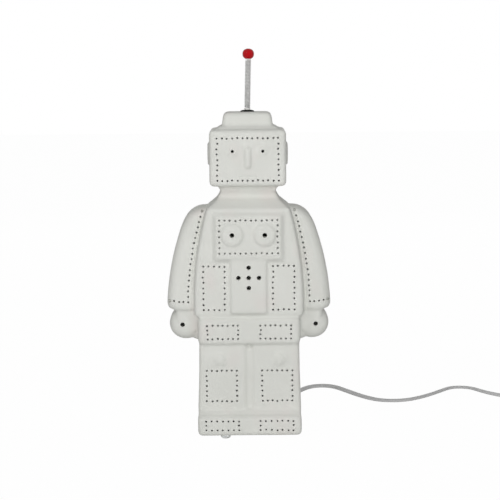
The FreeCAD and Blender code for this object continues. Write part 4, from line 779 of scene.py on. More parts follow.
@dataclass
class PorcelainShell:
    """The hollow slip-cast body of the lamp, pierced with its light holes."""

    wall: float = 4.0
    bottom: float = 3.0
    voxel: float = 1.2
    smooth_passes: int = 5
    faces_kept: float = 0.5
    hollow_voxel: float = 2.0
    hollow_faces_kept: float = 0.2
    unevenness: float = 0.22
    wide_swell: Point = (34.0, 0.7)
    narrow_swell: Point = (11.0, 0.3)
    punch_error: float = 0.22
    punch_play: Point = (0.92, 1.06)

    head_half: float = 37.4
    head_front: float = -31.5
    head_back: float = 34.0
    ear_z: float = 279.5
    ear_radius: float = 11.4
    ear_depth: float = 4.4
    eye_place: Point = (14.7, 283.2)
    eye_radius: float = 6.2
    eye_rise: float = 1.7
    torso_hem: Point = (53.5, 120.7)
    torso_waist: Point = (50.6, 181.0)
    torso_shoulder: Point = (40.6, 228.0)
    torso_front: float = -34.5
    torso_back: float = 36.0
    torso_round: float = 4.0
    torso_steps: int = 12
    dial_place: Point = (15.9, 202.5)
    dial_y: float = -37.9
    dial_radius: float = 10.8
    dial_depth: float = 7.8
    drum_taper: float = 0.5
    leg_inner: float = 2.6
    leg_front: float = -32.5
    leg_back: float = 34.0
    leg_round: float = 3.4
    leg_button: Point = (29.4, 78.0)
    leg_button_radius: float = 6.8
    leg_button_rise: float = 2.6
    shoe_half: float = 51.3
    shoe_reach: float = 41.5
    shoe_top: float = 23.3

    sleeve_cuff: Point = (81.2, 131.0)
    sleeve_mid: Point = (76.9, 169.0)
    sleeve_end: Point = (68.4, 202.0)
    shoulder_mid: Point = (61.6, 217.6)
    sleeve_top: Point = (54.0, 227.6)
    sleeve_root: float = 36.0
    sleeve_front: float = -24.5
    sleeve_back: float = 27.0
    sleeve_round: float = 11.0
    sleeve_sides: int = 40
    corner_pull: float = 3.0
    sleeve_rings: tuple[float, ...] = tuple(141.0 + 6.0 * step for step in range(16))
    cuff_z: float = 126.0
    cuff_round: float = 6.5
    cuff_front_share: float = 0.35
    cuff_shares: tuple[float, ...] = (0.0, 0.08, 0.25, 0.5, 1.0)
    shoulder_round: float = 9.0
    shoulder_shares: tuple[float, ...] = (1.0, 0.6, 0.3, 0.12, 0.02)
    hand_place: Point = (62.7, 111.0)
    hand_radius: float = 16.8
    hand_flatness: float = 0.93
    hand_front: float = 20.5
    hand_fullness: float = 0.45

    mouth_z: float = 257.9
    mouth_half: float = 9.0
    mouth_half_height: float = 1.1
    mouth_ease: float = 2.0
    mouth_depth: float = 0.9
    seam_low: float = 121.0
    seam_high: float = 225.0
    seam_offset: float = 1.4
    seam_depth: float = 1.7
    seam_width: float = 1.7
    notch_z: float = 91.5
    notch_depth: float = 2.2
    notch_width: float = 2.4
    notch_reach: float = 110.0

    row_top: Point = (45.2, 224.3)
    row_mid: Point = (56.0, 179.0)
    row_bottom: Point = (60.0, 134.5)
    row_holes: int = 18
    cuff_holes: int = 4
    cuff_hole_gap: Point = (4.5, 0.35)
    pinhole: float = 0.98
    dial_hole: float = 2.35
    eye_hole: float = 1.5
    cross_hole: float = 2.25
    cross_z: float = 160.2
    cross_arm: float = 10.0
    hand_hole: float = 2.3
    hand_hole_place: Point = (65.9, 111.3)
    rows: list[HoleRow] = field(default_factory=lambda: [
        HoleRow(-29.7, 29.7, 254.6, 295.8, 13, 7, -31.5, False),
        HoleRow(-28.2, 28.2, 184.5, 216.9, 12, 5, -39.1, False),
        HoleRow(23.7, 44.5, 128.4, 171.4, 5, 7, -34.5),
        HoleRow(10.9, 40.9, 99.8, 113.0, 7, 2, -36.5),
        HoleRow(12.6, 42.1, 36.6, 67.2, 7, 5, -32.5),
        HoleRow(10.6, 43.0, 9.2, 18.2, 7, 1, -41.5),
    ])

    def sleeve_x(self, z: float) -> float:
        """Outer edge of the sleeve at a height.

        Args:
            z: The height.

        Returns:
            Distance from the middle of the lamp.
        """
        if z <= self.sleeve_end[1]:
            return arc_x(self.sleeve_cuff, self.sleeve_mid, self.sleeve_end, z)
        return arc_x(self.sleeve_end, self.shoulder_mid, self.sleeve_top, z)

    def torso_half(self, z: float) -> float:
        """Half width of the torso's front at a height."""
        return arc_x(self.torso_hem, self.torso_waist, self.torso_shoulder, z)

    def torso_outline(self, inset: float) -> list[Point]:
        """Front outline of the torso.

        Args:
            inset: Distance inside the outer skin.

        Returns:
            Points as x and z.
        """
        low, high = self.torso_hem[1] + inset, self.torso_shoulder[1] - inset
        right = []
        for index in range(self.torso_steps + 1):
            z = low + (high - low) * index / self.torso_steps
            right.append((self.torso_half(z) - inset, z))
        return right + [(-across, z) for across, z in reversed(right)]

    def sleeve_levels(self, inset: float) -> list[float]:
        """Heights of the sleeve's rings, which lie closer at the cuff and the shoulder.

        Args:
            inset: Distance inside the outer skin.

        Returns:
            The heights from the cuff up.
        """
        top = self.sleeve_top[1] - inset
        levels = [self.cuff_z + inset + self.cuff_round * share for share in self.cuff_shares]
        levels += [z for z in self.sleeve_rings if z < top - self.shoulder_round]
        levels += [top - self.shoulder_round * share for share in self.shoulder_shares]
        return levels

    def sleeve_section(self, z: float, inset: float) -> tuple[float, float, float]:
        """Rounded rectangle of the sleeve at a height.

        Args:
            z: The height.
            inset: Distance inside the outer skin.

        Returns:
            Half its width, half its depth and the radius of its corners.
        """
        top = self.sleeve_top[1] - inset
        under = max(0.0, self.cuff_round - (z - self.cuff_z - inset))
        tuck = self.cuff_round - math.sqrt(self.cuff_round ** 2 - under ** 2)
        over = max(0.0, self.shoulder_round - (top - z))
        drawn = self.shoulder_round - math.sqrt(self.shoulder_round ** 2 - over ** 2)
        outer = self.sleeve_x(max(z, self.sleeve_cuff[1])) - inset - tuck - drawn
        half_x = (outer - self.sleeve_root) / 2
        half_y = (self.sleeve_back - self.sleeve_front) / 2 - inset - tuck * self.cuff_front_share - drawn
        return half_x, half_y, min(self.sleeve_round - inset * 0.5, half_x, half_y)

    def sleeve(self, form: Form, inset: float) -> None:
        """Add the sleeve at +X as rounded rings from the cuff to the shoulder.

        Args:
            form: The mesh to add to.
            inset: Distance inside the outer skin.
        """
        sides = self.sleeve_sides
        middle_y = (self.sleeve_front + self.sleeve_back) / 2
        half_turn = Matrix.Rotation(math.pi / sides, 4, "Z")
        ring = bmesh.ops.create_circle(form, segments=sides, radius=1.0, matrix=half_turn)["verts"]
        angles = [math.atan2(vert.co.y, vert.co.x) for vert in ring]
        edges = list({edge for vert in ring for edge in vert.link_edges})
        first_edges = edges
        middle_x = 0.0
        for number, z in enumerate(self.sleeve_levels(inset)):
            half_x, half_y, corner = self.sleeve_section(z, inset)
            if number > 0:
                grown = bmesh.ops.extrude_edge_only(form, edges=edges)["geom"]
                ring = [item for item in grown if isinstance(item, bmesh.types.BMVert)]
                edges = [item for item in grown if isinstance(item, bmesh.types.BMEdge)]
                ring.sort(key=lambda vert: math.atan2(vert.co.y - middle_y, vert.co.x - middle_x))
                angles.sort()
            middle_x = self.sleeve_root + half_x
            flat_x, flat_y = half_x - corner, half_y - corner
            for vert, angle in zip(ring, angles):
                way = Vector((math.cos(angle), math.sin(angle)))
                x = max(-flat_x, min(flat_x, way.x * self.corner_pull * half_x))
                y = max(-flat_y, min(flat_y, way.y * self.corner_pull * half_y))
                vert.co = (middle_x + x + way.x * corner, middle_y + y + way.y * corner, z)
        bmesh.ops.holes_fill(form, edges=first_edges, sides=sides)
        bmesh.ops.holes_fill(form, edges=edges, sides=sides)

    def leg_blocks(self) -> list[Block]:
        """Return the leg at +X, which narrows upwards."""
        def level(z: float, outer: float) -> Level:
            return Level(z, self.leg_inner, outer, self.leg_front, self.leg_back)

        return [
            Block("shin", level(self.shoe_top, 51.2), level(68.0, 49.7), self.leg_round),
            Block("thigh", level(58.0, 49.8), level(100.0, 49.3), self.leg_round),
        ]

    def wrist_blocks(self) -> list[Block]:
        """Return what joins the hand at +X to the hip and to the cuff."""
        web_low, web_high = Level(94.8, 44.0, 56.0, -16.0, 18.0), Level(126.0, 44.0, 62.0, -17.0, 19.0)
        wrist_low, wrist_high = Level(103.0, 45.0, 71.0, -18.5, 20.5), Level(130.0, 45.0, 73.2, -21.5, 23.5)
        return [Block("web", web_low, web_high, 5.0), Block("wrist", wrist_low, wrist_high, 4.0)]

    def side_relief(self, form: Form) -> None:
        """Add the round relief at +X: leg button, eye, dial and ear."""
        low_dome(form, *self.leg_button, self.leg_front, self.leg_button_radius, self.leg_button_rise)
        low_dome(form, *self.eye_place, self.head_front, self.eye_radius, self.eye_rise)
        dial = Vector((self.dial_place[0], self.dial_y, self.dial_place[1]))
        drum(form, dial, FORWARD, self.dial_radius, self.dial_depth, self.drum_taper)
        ear = Vector((self.head_half, 0, self.ear_z))
        drum(form, ear, RIGHT, self.ear_radius, self.ear_depth, self.drum_taper)

    def lower_blocks(self) -> list[Block]:
        """Return the shoes, the slope above them, the web between the legs and the hips."""
        half, reach = self.shoe_half, self.shoe_reach
        return [
            upright("shoes", self.bottom, self.shoe_top, half, -reach, reach, 4.2),
            Block("shoe slope", centred(19.0, half, -reach, reach), centred(28.9, 50.0, -32.0, 33.5), 1.5),
            upright("leg web", 20.0, 100.0, 4.0, -30.2, 31.7, 0.8),
            upright("hips", 93.0, 120.7, 50.4, -36.5, 38.0, 5.0),
        ]

    def upper_blocks(self) -> list[Block]:
        """Return the shoulders, the neck, the head and the hat."""
        chest, spine = self.torso_front, self.torso_back
        face, nape, half = self.head_front, self.head_back, self.head_half
        shoulder, throat = centred(227.0, 40.4, chest, spine), centred(238.0, 28.0, -19.5, 21.5)
        crown_low = centred(299.0, half, face, nape)
        crown_high = centred(307.0, 27.0, face + 9.0, nape - 9.0)
        return [
            upright("shoulder band", 222.0, 228.0, 40.6, chest, spine, 1.5),
            Block("shoulder slope", shoulder, throat, 1.5),
            upright("neck", 224.0, 262.0, 27.5, -19.0, 21.0, 3.0),
            Block("neck foot", centred(231.0, 33.5, -23.0, 25.0), centred(242.5, 27.0, -18.5, 20.5), 2.0),
            Block("neck top", centred(244.5, 27.0, -18.5, 20.5), centred(251.0, 31.5, -23.0, 25.0), 1.5),
            upright("head", 248.7, 303.9, half, face, nape, 4.4),
            Block("crown", crown_low, crown_high, 1.0),
            Block("hat", centred(300.0, 25.6, -21.6, 21.6), centred(320.4, 23.4, -19.6, 19.6), 4.2),
        ]

    def panels(self) -> list[Panel]:
        """Return the chest panel, the apron panel and the nose."""
        return [
            Panel(35.3, 175.2, 224.6, self.torso_front, 4.6, 4.2),
            Panel(18.1, 124.0, 182.0, self.torso_front, 3.1, 1.2),
            Panel(3.2, 266.8, 287.4, self.head_front, 2.8, 0.8),
        ]

    def outside(self) -> Piece:
        """Return the closed outer form."""
        form = bmesh.new()
        pair = bmesh.new()
        add_blocks(pair, self.leg_blocks())
        self.sleeve(pair, 0.0)
        self.hand(pair, 0.0)
        add_blocks(pair, self.wrist_blocks())
        self.side_relief(pair)
        add_mirrored(pair)
        pour(pair, form)
        add_blocks(form, self.lower_blocks())
        slab(form, self.torso_outline(0.0), self.torso_front, self.torso_back, self.torso_round)
        add_blocks(form, self.upper_blocks())
        for panel in self.panels():
            panel.add_to(form)
        bmesh.ops.recalc_face_normals(form, faces=form.faces)
        piece = as_object(form, "robot_shell")
        remesh(piece, self.voxel)
        self.soften(piece)
        thin_out(piece, self.faces_kept)
        return piece

    def soften(self, piece: Piece) -> None:
        """Round every edge as casting and sponging do, press in the mouth and add a hand-made unevenness.

        Args:
            piece: The outer form after its remesh.
        """
        form = bmesh.new()
        form.from_mesh(piece.data)
        axes = {"use_axis_x": True, "use_axis_y": True, "use_axis_z": True}
        for _ in range(self.smooth_passes):
            bmesh.ops.smooth_vert(form, verts=form.verts, factor=0.5, **axes)
        form.normal_update()
        (wide, wide_share), (narrow, narrow_share) = self.wide_swell, self.narrow_swell
        for vert in form.verts:
            swell = noise.noise(vert.co / wide) * wide_share + noise.noise(vert.co / narrow) * narrow_share
            offset = vert.normal * swell * self.unevenness
            offset.y += self.pressed_in(vert.co)
            vert.co += offset
        form.to_mesh(piece.data)
        form.free()

    def pressed_in(self, place: Vector) -> float:
        """How far the mould presses the front in: the mouth, the seams beside the arms and the leg notch.

        Args:
            place: A point of the outer skin.

        Returns:
            Distance towards the back.
        """
        across, height = abs(place.x), place.z
        depth = 0.0
        if place.y < self.head_front + 1.5 and across < self.mouth_half:
            ease = min(1.0, (self.mouth_half - across) / self.mouth_ease)
            away = ((height - self.mouth_z) / self.mouth_half_height) ** 2
            depth += self.mouth_depth * ease * math.exp(-away)
        if place.y < 0.0 and self.seam_low < height < self.seam_high:
            seam = self.torso_half(height) + self.seam_offset
            ease = min(1.0, (height - self.seam_low) / 4.0, (self.seam_high - height) / 8.0)
            depth += self.seam_depth * ease * math.exp(-(((across - seam) / self.seam_width) ** 2))
        if place.y < 0.0 and height < self.notch_reach:
            away = (across ** 2 + (height - self.notch_z) ** 2) / self.notch_width ** 2
            depth += self.notch_depth * math.exp(-away)
        return depth

    def hand(self, form: Form, inset: float) -> None:
        """Add the hand at +X, a ball that is a little flattened below.

        Args:
            form: The mesh to add to.
            inset: Distance inside the outer skin.
        """
        x, z = self.hand_place
        before = set(form.verts)
        ball(form, Vector((x, 0, z)), self.hand_radius - inset)
        radius = self.hand_radius - inset
        for vert in set(form.verts) - before:
            if vert.co.z < z:
                vert.co.z = z + (vert.co.z - z) * self.hand_flatness
            share = min(1.0, abs(vert.co.y) / radius) ** self.hand_fullness
            vert.co.y = math.copysign(share * (self.hand_front - inset), vert.co.y)

    def lower_hollows(self) -> list[Block]:
        """Return the hollow of the shoes, the slope above them, the legs and the hips."""
        return [
            upright("shoe hollow", 9.4, 22.0, 48.0, -37.5, 37.5, 3.0),
            Block("slope hollow", centred(20.0, 48.0, -37.0, 37.0), centred(27.0, 45.0, -28.0, 29.5), 1.0),
            upright("leg hollow", 26.0, 129.0, 38.0, -26.5, 28.0, 1.0),
            upright("hip hollow", 97.0, 116.7, 47.2, -32.5, 34.0, 1.5),
        ]

    def upper_hollows(self) -> list[Block]:
        """Return the hollow of the neck, the head and the hat."""
        half = self.head_half - self.wall
        face, nape = self.head_front + self.wall, self.head_back - self.wall
        return [
            upright("neck hollow", 220.0, 257.0, 23.5, -15.0, 17.0, 1.0),
            upright("head hollow", 252.7, 300.0, half, face, nape, 2.0),
            Block("hat hollow", centred(298.0, 20.4, -16.4, 16.4), centred(316.4, 19.2, -15.5, 15.5), 1.5),
        ]

    def inside(self) -> Piece:
        """Return the hollow, open at the underside."""
        wall = self.wall
        form = bmesh.new()
        pair = bmesh.new()
        front, back = self.leg_front + wall, self.leg_back - wall
        frustum(pair, Level(19.3, 3.0, 47.0, front, back), Level(101.0, 3.0, 46.2, front, back), 4.0)
        self.sleeve(pair, wall)
        self.hand(pair, wall)
        wrist, wrist_radius, wrist_length = Vector((62.3, 0, 122.0)), 7.0, 26.0
        drum(pair, wrist, UP, wrist_radius, wrist_length)
        add_mirrored(pair)
        pour(pair, form)
        add_blocks(form, self.lower_hollows())
        slab(form, self.torso_outline(wall), self.torso_front + wall, self.torso_back - wall, 0.0)
        add_blocks(form, self.upper_hollows())
        mouth, mouth_radius, mouth_length = Vector((0, 0, 14.0)), 30.0, 30.0
        drum(form, mouth, UP, mouth_radius, mouth_length, segments=96)
        bmesh.ops.recalc_face_normals(form, faces=form.faces)
        piece = as_object(form, "hollow")
        remesh(piece, self.hollow_voxel)
        thin_out(piece, self.hollow_faces_kept)
        return piece

    def punches(self) -> Piece:
        """Return the punches for all holes; the pinholes are a little off their places, as by hand."""
        form = bmesh.new()
        self.pinhole_punches(form)
        for side in (-1, 1):
            self.front_punch(form, side * self.dial_place[0], self.dial_place[1], self.dial_hole)
            self.front_punch(form, side * self.eye_place[0], self.eye_place[1], self.eye_hole, 20)
            hand = Vector((side * self.hand_hole_place[0], -25.0, self.hand_hole_place[1]))
            drum(form, hand, BACKWARD, self.hand_hole, 50.0, segments=24)
            self.front_punch(form, side * self.cross_arm, self.cross_z, self.cross_hole)
            self.front_punch(form, 0.0, self.cross_z + side * self.cross_arm, self.cross_hole)
        self.front_punch(form, 0.0, self.cross_z, self.cross_hole)
        antenna_hole, gland_hole, plate_seat = (0, 0, 318.4), (0, 37.5, 15.5), (0, 0, 3.8)
        drum(form, Vector(antenna_hole), UP, 4.3, 12.0, segments=32)
        drum(form, Vector(gland_hole), BACKWARD, 4.2, 16.0, segments=32)
        drum(form, Vector(plate_seat), UP, 35.0, 2.0, segments=96)
        bmesh.ops.recalc_face_normals(form, faces=form.faces)
        return as_object(form, "punches")

    def front_punch(self, form: Form, x: float, z: float, radius: float, segments: int = 24) -> None:
        """Add a straight punch through the front wall of the head or torso.

        Args:
            form: The mesh to add to.
            x: Place across.
            z: Height.
            radius: Radius of the hole.
            segments: Sides.
        """
        middle_y, length = -37.75, 24.5
        drum(form, Vector((x, middle_y, z)), BACKWARD, radius, length, segments=segments)

    def pinhole_punches(self, form: Form) -> None:
        """Add a punch for each pinhole, with the small errors of a hand.

        Args:
            form: The mesh to add to.
        """
        chance = random.Random(7)
        places = [(x, row.face, z) for row in self.rows for x, z in row.places()]
        places += [(side * x, self.sleeve_front, z) for x, z in self.sleeve_row() for side in (-1, 1)]
        pin = self.pin()
        for x, y, z in places:
            radius = self.pinhole * chance.uniform(*self.punch_play)
            stray_x, stray_z = (chance.gauss(0.0, self.punch_error) for _ in range(2))
            place = Vector((x + stray_x, y, z + stray_z))
            punch = pin.copy()
            punch.transform(Matrix.Translation(place) @ Matrix.Diagonal((radius, 1.0, radius, 1.0)))
            form.from_mesh(punch)
            bpy.data.meshes.remove(punch)
        bpy.data.meshes.remove(pin)

    def pin(self) -> bpy.types.Mesh:
        """Return a punch of radius 1 along +Y: straight at the face, wider inside, so a hole looks dark."""
        outer_end, straight_end, flare_end, inner_end, flare = -4.0, 1.0, 4.8, 8.0, 2.1
        profile = [
            (0.0, outer_end), (1.0, outer_end), (1.0, straight_end),
            (flare, flare_end), (flare, inner_end), (0.0, inner_end),
        ]
        form = spun(profile, 10)
        form.transform(Matrix.Rotation(-math.pi / 2, 4, "X"))
        mesh = bpy.data.meshes.new("pin")
        form.to_mesh(mesh)
        form.free()
        return mesh

    def sleeve_row(self) -> list[Point]:
        """Return the pinholes down the front of a sleeve and along its cuff, as x and z."""
        x, y, radius = circle_through(self.row_top, self.row_mid, self.row_bottom)
        found = []
        start = math.atan2(self.row_top[1] - y, self.row_top[0] - x)
        end = math.atan2(self.row_bottom[1] - y, self.row_bottom[0] - x)
        for index in range(self.row_holes):
            angle = start + (end - start) * index / (self.row_holes - 1)
            found.append((x + radius * math.cos(angle), y + radius * math.sin(angle)))
        gap_x, gap_z = self.cuff_hole_gap
        for index in range(1, self.cuff_holes + 1):
            found.append((self.row_bottom[0] + gap_x * index, self.row_bottom[1] + gap_z * index))
        return found

    def build(self, material: Material) -> Piece:
        """Make the shell.

        Args:
            material: Its finish.

        Returns:
            The finished piece.
        """
        piece = self.outside()
        log.info("outer skin: %d faces", len(piece.data.polygons))
        cut(piece, self.inside())
        cut(piece, self.punches())
        to_metres(piece)
        dress(piece, material, 50.0)
        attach(piece, Body.LAMP.value)
        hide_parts("porcelain_shell")
        log.info("%s: %d faces", piece.name, len(piece.data.polygons))
        return piece


@dataclass(frozen=True)
class SoftBox:
    """A square soft light that looks at the lamp: degrees round and up, metres and watts."""

    name: str
    side: float
    height: float
    size: float
    power: float
    in_gloss: bool = True


@dataclass
class Studio:
    """Floor, light and camera."""

    target: Place = (0.0015, 0.0035, 0.1823)
    eye: Place = (0.0015, -1.3965, 0.3693)
    lens: float = 101.66
    lean: float = 0.5
    ambient: float = 0.23
    floor_lit_share: float = 0.015
    box_aim: Place = (0.0, 0.0, 0.19)
    box_distance: float = 1.9
    boxes: tuple[SoftBox, ...] = (
        SoftBox("left_soft_box", -43.0, 36.0, 0.26, 4.5),
        SoftBox("right_soft_box", 24.0, 36.0, 0.26, 3.5),
        SoftBox("front_fill", 0.0, 5.0, 1.2, 20.0, False),
        SoftBox("back_fill", 180.0, 22.0, 1.2, 7.0, False),
    )

    def floor(self) -> None:
        """Make the pale floor, which shows white and keeps a soft shadow."""
        form = bmesh.new()
        bmesh.ops.create_grid(form, x_segments=4, y_segments=4, size=6.0)
        plane = as_object(form, "studio_floor")
        material = bpy.data.materials.new("studio_floor")
        material.use_nodes = True
        tree = material.node_tree
        tree.nodes.clear()
        output = tree.nodes.new("ShaderNodeOutputMaterial")
        matte = tree.nodes.new("ShaderNodeBsdfDiffuse")
        matte.inputs["Color"].default_value = (0.8, 0.8, 0.8, 1.0)
        white = tree.nodes.new("ShaderNodeEmission")
        mix = tree.nodes.new("ShaderNodeMixShader")
        shown = self.shown_rays(tree)
        share = tree.nodes.new("ShaderNodeMath")
        share.operation = "MULTIPLY"
        share.inputs[1].default_value = 1.0 - self.floor_lit_share
        tree.links.new(shown, share.inputs[0])
        tree.links.new(share.outputs[0], mix.inputs["Fac"])
        tree.links.new(matte.outputs[0], mix.inputs[1])
        tree.links.new(white.outputs[0], mix.inputs[2])
        tree.links.new(mix.outputs[0], output.inputs["Surface"])
        plane.data.materials.append(material)

    def shown_rays(self, tree: bpy.types.NodeTree) -> Socket:
        """Value that is 1 for rays that show the background.

        Args:
            tree: The node tree to add to.

        Returns:
            The value's socket.
        """
        rays = tree.nodes.new("ShaderNodeLightPath")
        shown = rays.outputs["Is Camera Ray"]
        for kind in ("Is Glossy Ray", "Is Transmission Ray"):
            either = tree.nodes.new("ShaderNodeMath")
            either.operation = "MAXIMUM"
            tree.links.new(shown, either.inputs[0])
            tree.links.new(rays.outputs[kind], either.inputs[1])
            shown = either.outputs[0]
        return shown

    def world(self) -> None:
        """Make the plain surrounding light."""
        world = bpy.data.worlds.new("studio_world")
        bpy.context.scene.world = world
        world.use_nodes = True
        tree = world.node_tree
        background = tree.nodes["Background"]
        background.inputs["Color"].default_value = (1.0, 1.0, 1.0, 1.0)
        strength = tree.nodes.new("ShaderNodeMapRange")
        strength.inputs["To Min"].default_value = self.ambient
        strength.inputs["To Max"].default_value = 1.0
        tree.links.new(self.shown_rays(tree), strength.inputs["Value"])
        tree.links.new(strength.outputs["Result"], background.inputs["Strength"])

    def soft_boxes(self) -> None:
        """Make the two soft boxes above the lamp and the two wide fills, which gloss doesn't show."""
        aim = Vector(self.box_aim)
        for box in self.boxes:
            lamp = bpy.data.lights.new(box.name, "AREA")
            lamp.shape = "SQUARE"
            lamp.size = box.size
            lamp.energy = box.power
            turn, rise = math.radians(box.side), math.radians(box.height)
            way = Vector((math.sin(turn) * math.cos(rise), -math.cos(turn) * math.cos(rise), math.sin(rise)))
            holder = bpy.data.objects.new(box.name, lamp)
            holder.location = aim + way * self.box_distance
            holder.rotation_euler = way.to_track_quat("Z", "Y").to_euler()
            holder.visible_glossy = box.in_gloss
            bpy.context.scene.collection.objects.link(holder)

    def camera(self) -> None:
        """Make the camera at the photograph's viewing angle."""
        data = bpy.data.cameras.new("camera")
        data.lens = self.lens
        data.sensor_width = 36.0
        data.clip_start = 0.05
        data.clip_end = 50.0
        holder = bpy.data.objects.new("camera", data)
        way = Vector(self.eye) - Vector(self.target)
        facing = way.to_track_quat("Z", "Y")
        roll = Matrix.Rotation(math.radians(-self.lean), 4, "Z").to_quaternion()
        holder.rotation_euler = (facing @ roll).to_euler()
        holder.location = self.eye
        bpy.context.scene.collection.objects.link(holder)
        bpy.context.scene.camera = holder

    def build(self) -> None:
        """Make everything that isn't the lamp."""
        bpy.context.scene.view_settings.view_transform = "Standard"
        self.floor()
        self.world()
        self.soft_boxes()
        self.camera()
        log.info("studio ready")


@dataclass
class Antenna:
    """Grommet, spring and bead on the hat."""

    hat_top: float = 320.4
    grommet_rise: float = 1.7
    lean: float = 1.5
    pivot_z: float = 322.25
    spring_foot: float = 323.85
    spring_length: float = 47.2
    spring_radius: float = 2.32
    wire_radius: float = 0.64
    turns: int = 33
    steps_per_turn: int = 28
    wire_sides: int = 8
    tip_flange: float = 0.8
    bead_drop: float = 0.5
    bead_radius: float = 5.75
    bead_half_height: float = 5.25
    bead_fullness: float = 2.25
    bead_rings: int = 22
    bore_lip: float = 1.8

    def leaned(self) -> Matrix:
        """Turn of the antenna about the foot of its collar."""
        pivot = Matrix.Translation((0, 0, self.pivot_z))
        return pivot @ Matrix.Rotation(math.radians(self.lean), 4, "Y") @ pivot.inverted()

    def spring(self, material: Material) -> Piece:
        """Close-wound steel spring.

        Args:
            material: Its finish.

        Returns:
            The piece.
        """
        wire = bmesh.new()
        count = self.turns * self.steps_per_turn
        low = self.spring_foot + self.wire_radius
        climb = self.spring_length - 2 * self.wire_radius
        start = Matrix.Translation((self.spring_radius, 0, low)) @ Matrix.Rotation(math.pi / 2, 4, "X")
        ring = bmesh.ops.create_circle(
            wire, segments=self.wire_sides, radius=self.wire_radius, matrix=start
        )["verts"]
        edges = list({edge for vert in ring for edge in vert.link_edges})
        bmesh.ops.spin(
            wire,
            geom=ring + edges,
            cent=(0, 0, 0),
            axis=(0, 0, 1),
            dvec=(0, 0, climb / count),
            angle=math.tau * self.turns,
            steps=count,
        )
        ends = [edge for edge in wire.edges if edge.is_boundary]
        bmesh.ops.holes_fill(wire, edges=ends, sides=self.wire_sides)
        bmesh.ops.recalc_face_normals(wire, faces=wire.faces)
        wire.transform(self.leaned())
        piece = as_object(wire, "antenna_spring_wire")
        to_metres(piece)
        dress(piece, material, 80.0)
        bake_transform(piece)
        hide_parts("antenna_spring")
        return piece

    def bead(self, material: Material) -> Piece:
        """Turned bead with a shade flatter ends than a ball, and its small bore in the top.

        Args:
            material: Its finish.

        Returns:
            The piece.
        """
        spring_top = self.spring_foot + self.spring_length
        centre = spring_top + self.tip_flange + self.bead_half_height - self.bead_drop
        bottom, top = centre - self.bead_half_height, centre + self.bead_half_height
        power = 2 / self.bead_fullness
        profile = [(0.0, bottom + 0.6), (1.6, bottom + 0.05)]
        for index in range(1, self.bead_rings):
            angle = -math.pi / 2 + math.pi * index / self.bead_rings
            radius = self.bead_radius * abs(math.cos(angle)) ** power
            height = self.bead_half_height * math.copysign(abs(math.sin(angle)) ** power, math.sin(angle))
            if radius > self.bore_lip:
                profile.append((radius, centre + height))
        profile += [(1.5, top - 0.02), (1.0, top - 0.12), (0.8, top - 0.5), (0.0, top - 0.9)]
        form = spun(profile, 56)
        form.transform(self.leaned())
        piece = as_object(form, "red_bead")
        to_metres(piece)
        dress(piece, material, 60.0)
        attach(piece, Body.ANTENNA.value)
        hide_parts("antenna_bead")
        return piece

    def grommet(self, material: Material) -> Piece:
        """Domed rubber grommet in the hat's hole.

        Args:
            material: Its finish.

        Returns:
            The piece.
        """
        top = self.hat_top
        profile = [
            (1.95, top - 5.5), (6.1, top - 5.5), (6.3, top - 5.2), (6.3, top - 4.4), (6.1, top - 4.05),
            (4.2, top - 4.0), (4.2, top + 0.05), (6.6, top + 0.05), (6.95, top + 0.3), (6.8, top + 0.75),
            (5.9, top + 1.2), (4.6, top + 1.55), (3.4, top + 1.68), (2.4, top + 1.66), (1.95, top + 1.4),
            (1.95, top - 5.5),
        ]
        piece = as_object(spun(profile, 48), "rubber_grommet")
        to_metres(piece)
        dress(piece, material, 50.0)
        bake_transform(piece)
        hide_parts("antenna_grommet")
        return piece

    def build(self, wire: Material, lacquer: Material, rubber: Material) -> None:
        """Make the pieces.

        Args:
            wire: Finish of the spring.
            lacquer: Finish of the bead.
            rubber: Finish of the grommet.
        """
        for piece in (self.spring(wire), self.bead(lacquer), self.grommet(rubber)):
            log.info("%s: %d faces", piece.name, len(piece.data.polygons))


@dataclass
class FootPads:
    """The four soft clear pads under the shoes."""

    places: tuple[Point, ...] = ((-24.0, -34.5), (38.5, -14.0), (-40.0, 31.0), (40.0, 31.0))
    radius: float = 5.0
    height: float = 3.0

    def build(self, material: Material) -> Piece:
        """Make the pads.

        Args:
            material: Their finish.

        Returns:
            The piece.
        """
        outline = (
            (0.0, 0.0), (0.5, 0.0), (0.72, 0.08), (0.9, 0.3), (0.98, 0.6),
            (1.0, 0.83), (0.97, 0.97), (0.9, 1.0), (0.0, 1.0),
        )
        profile = [(share * self.radius, rise * self.height) for share, rise in outline]
        form = bmesh.new()
        for x, y in self.places:
            pad = spun(profile, 40)
            pad.transform(Matrix.Translation((x, y, 0.0)))
            pour(pad, form)
        piece = as_object(form, "clear_foot_pads")
        to_metres(piece)
        dress(piece, material, 50.0)
        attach(piece, Body.LAMP.value)
        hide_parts("foot_pads")
        log.info("%s: %d faces", piece.name, len(piece.data.polygons))
        return piece


